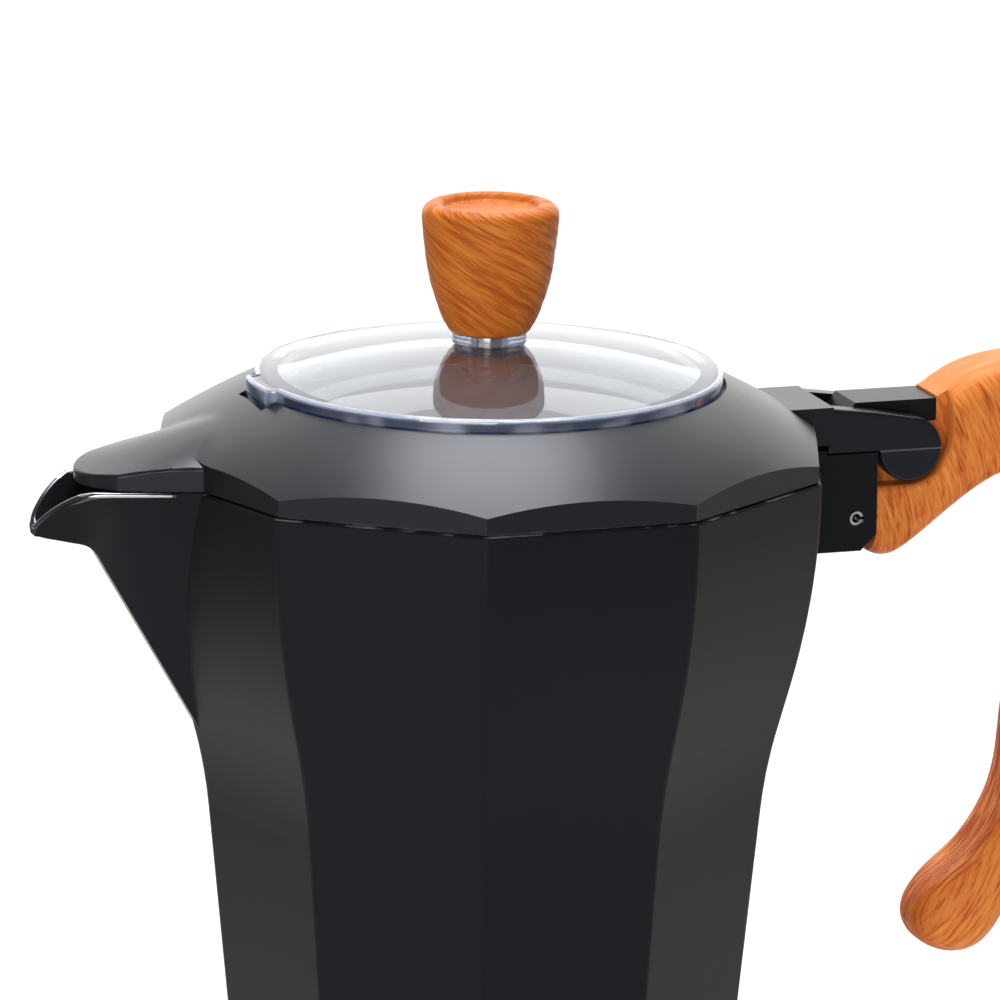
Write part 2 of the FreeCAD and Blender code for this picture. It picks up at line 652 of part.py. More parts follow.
def cover(inset, z_low):
    """Beak of the lid over the spout: rounded plan, arched roof that falls towards the tip."""
    root, tip = -(RIM_R - COVER_ROOT), -(RIM_R + COVER_REACH - inset)
    start = -(RIM_R - LUG_BACK)
    w_root, w_tip = COVER_HALF_W - inset, COVER_TIP_HALF_W - inset
    nose = w_tip / 2

    def at(x, y):
        return Vector(x, y, z_low)

    end = Part.Arc(at(tip + nose, -w_tip), at(tip, 0), at(tip + nose, w_tip)).toShape()
    corners = [at(tip + nose, w_tip), at(start, w_root), at(root, w_root), at(root, -w_root),
               at(start, -w_root), at(tip + nose, -w_tip)]
    sides = [Part.makeLine(p, q) for p, q in zip(corners, corners[1:])]
    plan = Part.Face(Part.Wire(Part.__sortEdges__([end] + sides))).extrude(Vector(0, 0, LID_TOP_H))
    wires = []
    for x, ridge in ((root, 2 * COVER_RIDGE_H - COVER_TIP_RIDGE_H), (-RIM_R, COVER_RIDGE_H),
                     (-(RIM_R + COVER_REACH), COVER_TIP_RIDGE_H)):
        side = COVER_SIDE_H + (ridge - COVER_TIP_RIDGE_H) * COVER_SIDE_SHARE
        points = [Vector(x, y, SEAM_Z + z - inset)
                  for y, z in ((-COVER_HALF_W, side), (0, ridge), (COVER_HALF_W, side))]
        foot = [Vector(x, y, z_low - COVER_T) for y in (COVER_HALF_W, -COVER_HALF_W)]
        arc = Part.Arc(*points).toShape()
        lines = [Part.makeLine(points[2], foot[0]), Part.makeLine(*foot), Part.makeLine(foot[1], points[0])]
        wires.append(Part.Wire([arc] + lines))
    return plan.common(Part.makeLoft(wires, True, True))


def eased_cover(shell):
    """Blend the cover's roof into the dome, and round the cover's upper edge."""
    root = [e for e in shell.Edges
            if e.BoundBox.YMin < -COVER_EDGE_R and e.BoundBox.YMax > COVER_EDGE_R
            and e.BoundBox.XLength > COVER_EDGE_R and -RIM_R < e.BoundBox.XMin
            and e.BoundBox.XMax < -WINDOW_HOLE_R]
    shell = shell.makeFillet(COVER_ROOT_R, root)
    edges = [e for e in shell.Edges
             if e.BoundBox.XMin < SAME - RIM_R and e.BoundBox.XMax < SAME + LUG_BACK - RIM_R
             and e.BoundBox.ZMin > LID_Z + SAME and e.BoundBox.XLength > SAME]
    return shell.makeFillet(COVER_EDGE_R, edges)


def lobe(grow, z_low, z_high):
    """Squared lobe of the window towards the spout."""
    half = LOBE_HALF_W + grow
    out = WINDOW_HOLE_R - WINDOW_GAP + LOBE_OUT + grow
    return Part.makeBox(out, 2 * half, z_high - z_low, Vector(-out, -half, z_low))


def ears():
    """Arms of the lid that reach past the lug to the hinge, one on each side of the hook."""
    top, low = SEAM_Z + ARM_TOP, HINGE_Z + MOVE_GAP / 2
    inside, end_x = RIM_R - LUG_BACK - WALL, RIM_R + ARM_OVER
    drop_x = RIM_R - ARM_DROP
    block = slab([(inside, LID_Z), (end_x, LID_Z), (end_x, top), (inside, top)], -LUG_HALF_W, LUG_HALF_W)
    arm = slab([(inside, LID_Z), (drop_x, LID_Z), (drop_x, low), (HINGE_X, low), (HINGE_X, HINGE_Z + EAR_R),
                (LUG_END, SEAM_Z + EAR_TOP), (end_x, top - MOVE_GAP), (inside, top)], EAR_IN, LUG_HALF_W)
    end = Part.makeCylinder(EAR_R, LUG_HALF_W - EAR_IN, Vector(HINGE_X, EAR_IN, HINGE_Z), Y_AXIS)
    arm = arm.fuse(end).removeSplitter()
    rims = [e for e in arm.Edges
            if e.BoundBox.YMin > LUG_HALF_W - SAME
            and e.BoundBox.XMax > end_x + SAME and e.BoundBox.ZMax > low + SAME]
    pair = both_sides(arm.makeFillet(EAR_EDGE_R, rims))
    pin_hole = Part.makeCylinder(HINGE_PIN_R + PIN_GAP, 2 * LUG_HALF_W - EAR_SKIN,
                                 Vector(HINGE_X, -LUG_HALF_W + EAR_SKIN, HINGE_Z), Y_AXIS)
    return block.fuse(pair).cut(pin_hole)


def lid_ring():
    """Cast frame of the lid: faceted dome, window seat, spout cover and hinge arms."""
    top = SEAM_Z + LID_TOP_H
    shell = dome_solid(0.0, LID_Z).common(lid_prism(0.0, LID_Z, top))
    shell = eased_cover(shell.fuse(cover(0.0, LID_Z))).fuse(ears())
    under = dome_solid(LID_T, LID_Z).common(lid_prism(LID_T, LID_Z, top))
    under = under.cut(disc(WINDOW_HOLE_R + LID_T, SEAT_Z - SEAT_T, top))
    hollow = cover(COVER_T, LID_Z)
    shell = shell.cut(under.fuse(hollow.cut(disc(WINDOW_HOLE_R + LID_T, LID_Z, top))))
    shell = shell.cut(disc(WINDOW_HOLE_R - SEAT_W, LID_Z, top))
    shell = shell.cut(disc(WINDOW_HOLE_R, SEAT_Z, top + LID_T))
    return shell.cut(lobe(WINDOW_GAP, SEAT_Z, top + LID_T)).removeSplitter()


def lid_window():
    """Clear domed window with a lobe, a boss for the knob and snap hooks under the seat."""
    radius = WINDOW_HOLE_R - WINDOW_GAP
    edge, apex = SEAM_Z + WINDOW_EDGE_H, BOSS_FOOT_Z
    side = Part.makeLine(Vector(radius, 0, SEAT_Z), Vector(radius, 0, edge))
    lens = turned_edges([side, bowl(radius, edge, apex)])
    flat = lobe(0.0, SEAT_Z, edge).common(disc(radius + LOBE_OUT, SEAT_Z, edge))
    under = apex - WINDOW_T
    window = lens.fuse(flat).cut(turned_edges([bowl(WINDOW_HOLE_R - SEAT_W - LID_T, SEAT_Z, under)]))
    window = window.fuse([disc(WINDOW_BOSS_R, under, KNOB_Z), disc(SCREW_PAD_R, PAD_Z, under)])
    out = WINDOW_HOLE_R - SEAT_W - MOVE_GAP
    leg_t, foot = LID_T - MOVE_GAP, SEAT_Z - SEAT_T - SNAP_BARB
    for count in range(SNAPS):
        leg = Part.makeBox(leg_t, SNAP_W, SEAT_Z + SNAP_BARB - foot + MOVE_GAP,
                           Vector(out - leg_t, -SNAP_W / 2, foot - MOVE_GAP))
        barb = Part.makeBox(SNAP_BARB + MOVE_GAP, SNAP_W, SNAP_BARB,
                            Vector(out, -SNAP_W / 2, foot - MOVE_GAP))
        window = window.fuse(leg.fuse(barb).rotated(ORIGIN, Z_AXIS, 360.0 / SNAPS * (count + 0.5)))
    return window.cut(disc(SCREW_R + SCREW_GAP, PAD_Z, KNOB_Z)).removeSplitter()


def knob():
    """Turned knob: narrow foot, swelling side, rounded rim and a dished top."""
    top = KNOB_Z + KNOB_H
    rim = KNOB_R - KNOB_RIM_R
    foot = Vector(KNOB_FOOT_R, 0, KNOB_Z + KNOB_FOOT_EDGE)
    swell = [Vector(radius, 0, KNOB_Z + height) for radius, height in KNOB_SIDE]
    shoulder = Vector(KNOB_R, 0, top - rim)
    curve = Part.BSplineCurve()
    curve.interpolate([foot] + swell + [shoulder])
    lip = Vector(KNOB_RIM_R, 0, top)
    turn = Vector(KNOB_RIM_R + rim * math.sqrt(0.5), 0, top - rim + rim * math.sqrt(0.5))
    edges = [Part.makeLine(Vector(WINDOW_BOSS_R, 0, KNOB_Z), foot), curve.toShape(),
             Part.Arc(shoulder, turn, lip).toShape(),
             Part.makeLine(lip, Vector(KNOB_DISH_R, 0, top)), bowl(KNOB_DISH_R, top, top - KNOB_DISH)]
    body = turned_edges(edges)
    body = body.cut(disc(SCREW_R + SCREW_GAP, KNOB_Z, PAD_Z - KNOB_WASHER_T + SCREW_L + MOVE_GAP))
    return body.cut(disc(INSERT_R, KNOB_Z + INSERT_START, KNOB_Z + INSERT_START + INSERT_L)).removeSplitter()


def knob_insert():
    """Threaded sleeve moulded into the knob."""
    low = KNOB_Z + INSERT_START
    return ring(INSERT_R, SCREW_R + PIN_GAP, low, low + INSERT_L)


def knob_washer():
    """Washer that spreads the screw's load under the window."""
    return ring(KNOB_WASHER_R, SCREW_R + SCREW_GAP, PAD_Z - KNOB_WASHER_T, PAD_Z)


def knob_screw():
    """Screw from under the window into the knob."""
    seat = PAD_Z - KNOB_WASHER_T
    head = disc(SCREW_HEAD_R, seat - SCREW_HEAD_T, seat)
    under = [e for e in head.Edges if abs(e.BoundBox.ZMax - seat + SCREW_HEAD_T) < SAME]
    shank = disc(SCREW_R, seat - SCREW_HEAD_T / 2, seat + SCREW_L)
    return head.makeFillet(SCREW_HEAD_T / 2, under).fuse(shank)


def hinge_pin():
    """Pin through the handle's tongue that carries the lid's arms."""
    start = -LUG_HALF_W + EAR_SKIN + MOVE_GAP
    length = LUG_HALF_W - MOVE_GAP - start
    return Part.makeCylinder(HINGE_PIN_R, length, Vector(HINGE_X, start, HINGE_Z), Y_AXIS)


def handle_pin():
    """Rolled spring pin through the lug's cheeks and the handle's tongue."""
    half = LUG_HALF_W - HANDLE_PIN_INSET
    tube = across(HANDLE_PIN_R, HANDLE_PIN_AT.x, HANDLE_PIN_AT.z, half)
    tube = tube.cut(across(HANDLE_PIN_R - HANDLE_PIN_T, HANDLE_PIN_AT.x, HANDLE_PIN_AT.z, half))
    corner = HANDLE_PIN_AT - Vector(0, half, HANDLE_PIN_T / 2)
    return tube.cut(Part.makeBox(HANDLE_PIN_R, 2 * half, HANDLE_PIN_T, corner))


def grip_section(low, high, share):
    """Rounded rectangle across the grip between its lower and upper point."""
    foot = Vector(LUG_END + low[0], 0, SEAM_Z + low[1])
    top = Vector(LUG_END + high[0], 0, SEAM_Z + high[1])
    centre, up = (foot + top) * 0.5, (top - foot).normalize()
    tall, wide = foot.distanceToPoint(top) / 2, HANDLE_HALF_W * share
    radius = min(HANDLE_EDGE, EDGE_SHARE * tall, EDGE_SHARE * wide)

    def at(side, height):
        return centre + Y_AXIS * side + up * height

    turn = radius * (1 - math.sqrt(0.5))
    edges = []
    for side, height, first in ((1, 1, True), (1, -1, False), (-1, -1, True), (-1, 1, False)):
        flat = at(side * (wide - radius), height * tall)
        wall = at(side * wide, height * (tall - radius))
        middle = at(side * (wide - turn), height * (tall - turn))
        ends = (flat, wall) if first else (wall, flat)
        edges.append((ends[0], middle, ends[1]))
    pieces = []
    for index, (start, middle, end) in enumerate(edges):
        pieces.append(Part.Arc(start, middle, end).toShape())
        pieces.append(Part.makeLine(end, edges[(index + 1) % 4][0]))
    return Part.Wire(pieces)


def handle():
    """Curved grip with a tongue between the cheeks and recesses round the lid's arms."""
    face_x, step = LUG_END + HANDLE_FIT, HOOK_END_X + HANDLE_FIT
    roof, top = SEAM_Z + HOOK_TOP - HOOK_T - HANDLE_FIT, SEAM_Z + LID_TOP_H
    ledge = HINGE_Z - EAR_R - RECESS_GAP
    shares = (1.0,) * (len(GRIP_LOWER) - len(GRIP_TIP_SHARES)) + GRIP_TIP_SHARES
    sections = [grip_section(*station) for station in zip(GRIP_LOWER, GRIP_UPPER, shares)]
    body = Part.makeLoft(sections, True, False)
    inner = TONGUE_HALF_W - HANDLE_FIT
    low, tongue_top = SEAM_Z - LUG_H + HANDLE_FIT, HINGE_Z - EAR_R - HANDLE_FIT
    tongue = slab([(RIM_R + HANDLE_FIT, low), (LUG_END + LUG_L / 2, low), (LUG_END + LUG_L / 2, tongue_top),
                   (RIM_R + HANDLE_FIT, tongue_top)], -inner, inner)
    body = body.fuse(tongue)
    centre_x, centre_z = HINGE_X - RECESS_SHIFT, ledge + RECESS_R
    out = centre_x + RECESS_R
    recess = slab([(LUG_END - LUG_L, ledge), (centre_x, ledge), (out, centre_z), (out - RECESS_LEAN, top),
                   (LUG_END - LUG_L, top)], inner, 2 * HANDLE_HALF_W)
    curve = Part.makeCylinder(RECESS_R, 2 * HANDLE_HALF_W, Vector(centre_x, inner, centre_z), Y_AXIS)
    recess = recess.fuse(curve)
    slot = slab([(LUG_END - LUG_L, roof), (step, roof), (step, top), (LUG_END - LUG_L, top)],
                -HANDLE_HALF_W, HANDLE_HALF_W)
    body = body.cut(both_sides(recess)).cut(slot)
    rims = [e for e in body.Edges
            if min(abs(e.BoundBox.YMin), abs(e.BoundBox.YMax)) > HANDLE_HALF_W - HANDLE_FIT
            and LUG_END + HANDLE_FIT + SAME < e.BoundBox.XMin and e.BoundBox.XMax < out + HANDLE_FIT]
    body = body.makeFillet(RECESS_EDGE_R, rims)
    body = body.cut(across(HANDLE_PIN_R, HANDLE_PIN_AT.x, HANDLE_PIN_AT.z, HANDLE_HALF_W))
    return body.cut(across(HINGE_PIN_R, HINGE_X, HINGE_Z, HANDLE_HALF_W)).removeSplitter()


PIECES = {
    "boiler": boiler, "valve_washer": valve_washer, "valve_body": valve_body, "valve_cap": valve_cap,
    "valve_plunger": valve_plunger, "valve_spring": valve_spring, "funnel_cup": funnel_cup,
    "funnel_strainer": funnel_strainer, "funnel_stem": funnel_stem, "gasket": gasket,
    "filter_plate": filter_plate, "collector": collector, "coffee_column": coffee_column,
    "lid_ring": lid_ring, "lid_window": lid_window, "knob": knob, "knob_insert": knob_insert,
    "knob_washer": knob_washer, "knob_screw": knob_screw, "hinge_pin": hinge_pin, "handle": handle,
    "handle_pin": handle_pin,
}

os.makedirs("parts", exist_ok=True)
for name, make in PIECES.items():
    make().exportStep(f"parts/{name}.step")
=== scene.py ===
import logging
import math
from abc import ABC, abstractmethod
from dataclasses import dataclass
from enum import Enum
from typing import Any, ClassVar, Sequence

import bpy
from mathutils import Matrix, Vector, noise


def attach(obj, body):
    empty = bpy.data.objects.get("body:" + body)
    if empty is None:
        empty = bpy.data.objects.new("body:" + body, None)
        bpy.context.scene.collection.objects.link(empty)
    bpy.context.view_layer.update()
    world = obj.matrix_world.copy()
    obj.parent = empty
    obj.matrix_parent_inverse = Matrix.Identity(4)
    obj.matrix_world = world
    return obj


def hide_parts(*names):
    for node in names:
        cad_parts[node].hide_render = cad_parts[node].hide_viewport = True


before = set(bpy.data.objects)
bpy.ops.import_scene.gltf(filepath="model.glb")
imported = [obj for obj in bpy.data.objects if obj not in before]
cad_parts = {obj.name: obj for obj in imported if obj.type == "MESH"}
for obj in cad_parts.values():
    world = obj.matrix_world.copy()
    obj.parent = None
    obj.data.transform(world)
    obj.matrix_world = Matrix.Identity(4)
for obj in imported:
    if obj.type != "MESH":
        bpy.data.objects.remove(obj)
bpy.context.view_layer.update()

LOG = logging.getLogger("coffee_pot")
MM = 0.001

# The joint between collector and lid. Heights near it are counted from here.
SEAM = 174.0 * MM
# The knob's grain climbs by this many radians per metre, on this mean radius.
KNOB_TWIST = 180.0
KNOB_GIRTH = 9.0 * MM
# A wave texture of scale 1 has one wave on this length.
WAVE_LENGTH = math.pi / 10

Point = tuple[float, float, float]
Span = tuple[float, float]
Colour = tuple[float, float, float, float]
Grid = list[list[Point]]
Tree = bpy.types.NodeTree
Socket = bpy.types.NodeSocket


def linear(code: str) -> Colour:
    """Turn an sRGB hex colour into linear RGBA.

    Args:
        code: Six hex digits with a leading hash.

    Returns:
        Linear red, green, blue and an alpha of one.
    """
    values = [int(code[i:i + 2], 16) / 255 for i in (1, 3, 5)]
    flat = [v / 12.92 if v <= 0.04045 else ((v + 0.055) / 1.055) ** 2.4 for v in values]
    return flat[0], flat[1], flat[2], 1.0


def smooth_step(low: float, high: float, value: float) -> float:
    """Ease from 0 at low to 1 at high.

    Args:
        low: Value where the result leaves 0.
        high: Value where the result reaches 1.
        value: Value to ease.

    Returns:
        A number from 0 to 1.
    """
    share = min(max((value - low) / (high - low), 0.0), 1.0)
    return share * share * (3 - 2 * share)


def feed(tree: Tree, node: bpy.types.Node, inputs: dict[str | int, Any]) -> None:
    """Set inputs of a node to plain values or link them.

    Args:
        tree: Node tree that holds the node.
        node: Node to feed.
        inputs: Socket name or number to a plain value, or to the output socket that feeds it.
    """
    for key, value in inputs.items():
        if isinstance(value, Socket):
            tree.links.new(value, node.inputs[key])
        else:
            node.inputs[key].default_value = value


def add_node(tree: Tree, kind: str, inputs: dict[str | int, Any] | None = None,
             **settings: Any) -> bpy.types.Node:
    """Add one node with its settings, plain input values and links.

    Args:
        tree: Node tree that receives the node.
        kind: Blender's type name of the node, without the leading "ShaderNode".
        inputs: Socket name or number to a plain value, or to the output socket that feeds it.
        settings: Properties of the node itself.

    Returns:
        The new node.
    """
    node = tree.nodes.new("ShaderNode" + kind)
    for key, value in settings.items():
        setattr(node, key, value)
    feed(tree, node, inputs or {})
    return node


class GrainFlow(Enum):
    """How the printed grain runs over a wood-look moulding."""

    SPIRAL = "spiral"
    SWIRL = "swirl"


@dataclass(frozen=True)
class Finish(ABC):
    """A real material with the way its surface was made."""

    @property
    @abstractmethod
    def label(self) -> str:
        """Name of the finished material."""

    @abstractmethod
    def shade(self, tree: Tree, shader: bpy.types.Node) -> None:
        """Set the shader's sockets and add the surface pattern.

        Args:
            tree: Node tree of the material.
            shader: Its Principled shader.
        """

    def material(self) -> bpy.types.Material:
        """Make the material once and hand out the same one after that.

        Returns:
            The Blender material of this finish.
        """
        found = bpy.data.materials.get(self.label)
        if found:
            return found
        made = bpy.data.materials.new(self.label)
        made.use_nodes = True
        made.node_tree.nodes.clear()
        shader = add_node(made.node_tree, "BsdfPrincipled")
        add_node(made.node_tree, "OutputMaterial", {"Surface": shader.outputs[0]})
        self.shade(made.node_tree, shader)
        return made


@dataclass(frozen=True)
class CoatedCasting(Finish):
    """Die-cast aluminium with a sprayed and baked black coating, machined bare where coffee runs.

    The spray leaves a fine even tooth that spreads highlights into broad satin bands. The bare
    inside and the cut rim keep the grey shine of aluminium, and a rim that is only rubbed shows
    it in patches. On the collector's seam and the spout's lip these light bare bands are partly
    rubbed or cut metal and partly a painted highlight of the edge catching light.
    """

    name: str
    # Bare places: inside this radius, and on faces above this height that point up this much.
    bare_radius: float = 0.0
    bare_above: float = 1.0
    bare_up: float = 0.6
    # The rim, and walls that face the axis, are sought inside this radius; the rim also on the spout.
    rim_radius: float = 55.2 * MM
    inward_lean: float = -0.3
    # The rim keeps its coating where the noise is under this value, and loses it over the next span.
    # These bare patches are partly rubbing and partly a painted highlight along the edge.
    coat_kept: float = 0.0
    rub_and_highlight_span: float = 0.15
    rub_and_highlight_mm: float = 5.0
    gloss: float = 0.13
    satin: Span = (0.27, 0.35)
    bare_satin: float = 0.3
    coat: str = "#0f1012"
    cloud: str = "#141518"
    bare: str = "#b9bbbe"
    sheen: str = "#eef3ff"
    cloud_mm: float = 18.0
    # The real tooth is about 0.1 mm wide. It is drawn coarser so that it shows.
    tooth_mm: float = 0.35
    tooth_depth: float = 0.05 * MM
    tooth_strength: float = 0.08

    @property
    def label(self) -> str:
        """Name of the finished material."""
        return f"baked_black_on_cast_aluminium_{self.name}"

    def bare_mask(self, tree: Tree) -> Socket:
        """Find the places that the coating leaves bare.

        Args:
            tree: Node tree of the material.

        Returns:
            A socket that is 1 on bare metal and 0 on the coating.
        """
        place = add_node(tree, "TexCoord")
        x, y, z = add_node(tree, "SeparateXYZ", {0: place.outputs["Object"]}).outputs
        facing = add_node(tree, "SeparateXYZ", {0: place.outputs["Normal"]})
        level = add_node(tree, "CombineXYZ", {0: x, 1: y}).outputs[0]
        radius = add_node(tree, "VectorMath", {0: level}, operation="LENGTH").outputs["Value"]
        outward = add_node(tree, "VectorMath", {0: level}, operation="NORMALIZE").outputs[0]
        lean = add_node(tree, "VectorMath", {
            0: outward, 1: place.outputs["Normal"]}, operation="DOT_PRODUCT").outputs["Value"]
        core, near, spout, inward, high, up = (
            add_node(tree, "Math", {0: value, 1: limit}, operation=test).outputs[0]
            for value, test, limit in (
                (radius, "LESS_THAN", self.bare_radius), (radius, "LESS_THAN", self.rim_radius),
                (x, "LESS_THAN", -self.rim_radius), (lean, "LESS_THAN", self.inward_lean),
                (z, "GREATER_THAN", self.bare_above), (facing.outputs[2], "GREATER_THAN", self.bare_up)))
        patch = add_node(tree, "TexNoise", {
            "Vector": place.outputs["Object"], "Scale": 1 / (self.rub_and_highlight_mm * MM),
            "Detail": 3.0}).outputs["Fac"]
        rim = add_node(tree, "MapRange", {
            "Value": patch, "From Min": self.coat_kept,
            "From Max": self.coat_kept + self.rub_and_highlight_span}).outputs[0]
        cut = add_node(tree, "Math", {0: near, 1: spout}, operation="MAXIMUM").outputs[0]
        for limit in (high, up, cut):
            rim = add_node(tree, "Math", {0: rim, 1: limit}, operation="MULTIPLY").outputs[0]
        wall = add_node(tree, "Math", {0: inward, 1: near}, operation="MULTIPLY").outputs[0]
        inside = add_node(tree, "Math", {0: wall, 1: core}, operation="MAXIMUM").outputs[0]
        return add_node(tree, "Math", {0: inside, 1: rim}, operation="MAXIMUM").outputs[0]

    def shade(self, tree: Tree, shader: bpy.types.Node) -> None:
        """Set the shader's sockets and add the surface pattern.

        Args:
            tree: Node tree of the material.
            shader: Its Principled shader.
        """
        mask = self.bare_mask(tree)
        place = add_node(tree, "TexCoord").outputs["Object"]
        tooth = add_node(tree, "TexNoise", {
            "Vector": place, "Scale": 1 / (self.tooth_mm * MM), "Detail": 2.0,
            "Roughness": 0.6}).outputs["Fac"]
        cloud = add_node(tree, "TexNoise", {
            "Vector": place, "Scale": 1 / (self.cloud_mm * MM), "Detail": 3.0}).outputs["Fac"]
        dark = add_node(tree, "MixRGB", {
            "Fac": cloud, "Color1": linear(self.coat), "Color2": linear(self.cloud)}).outputs[0]
        colour = add_node(tree, "MixRGB", {"Fac": mask, "Color1": dark, "Color2": linear(self.bare)})
        satin = add_node(tree, "MapRange", {
            "Value": tooth, "To Min": self.satin[0], "To Max": self.satin[1]}).outputs[0]
        rough = add_node(tree, "MapRange", {"Value": mask, "To Min": satin, "To Max": self.bare_satin})
        bump = add_node(tree, "Bump", {
            "Height": tooth, "Strength": self.tooth_strength, "Distance": self.tooth_depth})
        feed(tree, shader, {
            "Base Color": colour.outputs[0], "Metallic": mask, "Roughness": rough.outputs[0],
            "Normal": bump.outputs[0], "Specular IOR Level": self.gloss,
            "Specular Tint": linear(self.sheen)})


@dataclass(frozen=True)
class SpunAluminium(Finish):
    """Bare aluminium sheet, spun on a lathe and pierced.

    The tool leaves fine rings about the axis, which draw the highlight into soft arcs.
    """

    label: ClassVar[str] = "spun_aluminium"
    colour: str = "#c4c6c9"
    satin: Span = (0.24, 0.4)
    haze_mm: float = 6.0
    # The real rings are about 0.3 mm apart. They are drawn coarser so that they show.
    ring_mm: float = 5.655
    ring_depth: float = 0.03 * MM
    ring_strength: float = 0.1

    def shade(self, tree: Tree, shader: bpy.types.Node) -> None:
        """Set the shader's sockets and add the surface pattern.

        Args:
            tree: Node tree of the material.
            shader: Its Principled shader.
        """
        place = add_node(tree, "TexCoord").outputs["Object"]
        rings = add_node(tree, "TexWave", {
            "Vector": place, "Scale": WAVE_LENGTH / (self.ring_mm * MM), "Distortion": 1.5, "Detail": 2.0,
            "Detail Scale": 2.0}, wave_type="RINGS", rings_direction="Z").outputs["Fac"]
        haze = add_node(tree, "TexNoise", {"Vector": place, "Scale": 1 / (self.haze_mm * MM)})
        rough = add_node(tree, "MapRange", {
            "Value": haze.outputs["Fac"], "To Min": self.satin[0], "To Max": self.satin[1]})
        bump = add_node(tree, "Bump", {
            "Height": rings, "Strength": self.ring_strength, "Distance": self.ring_depth})
        feed(tree, shader, {
            "Base Color": linear(self.colour), "Metallic": 1.0, "Roughness": rough.outputs[0],
            "Normal": bump.outputs[0]})


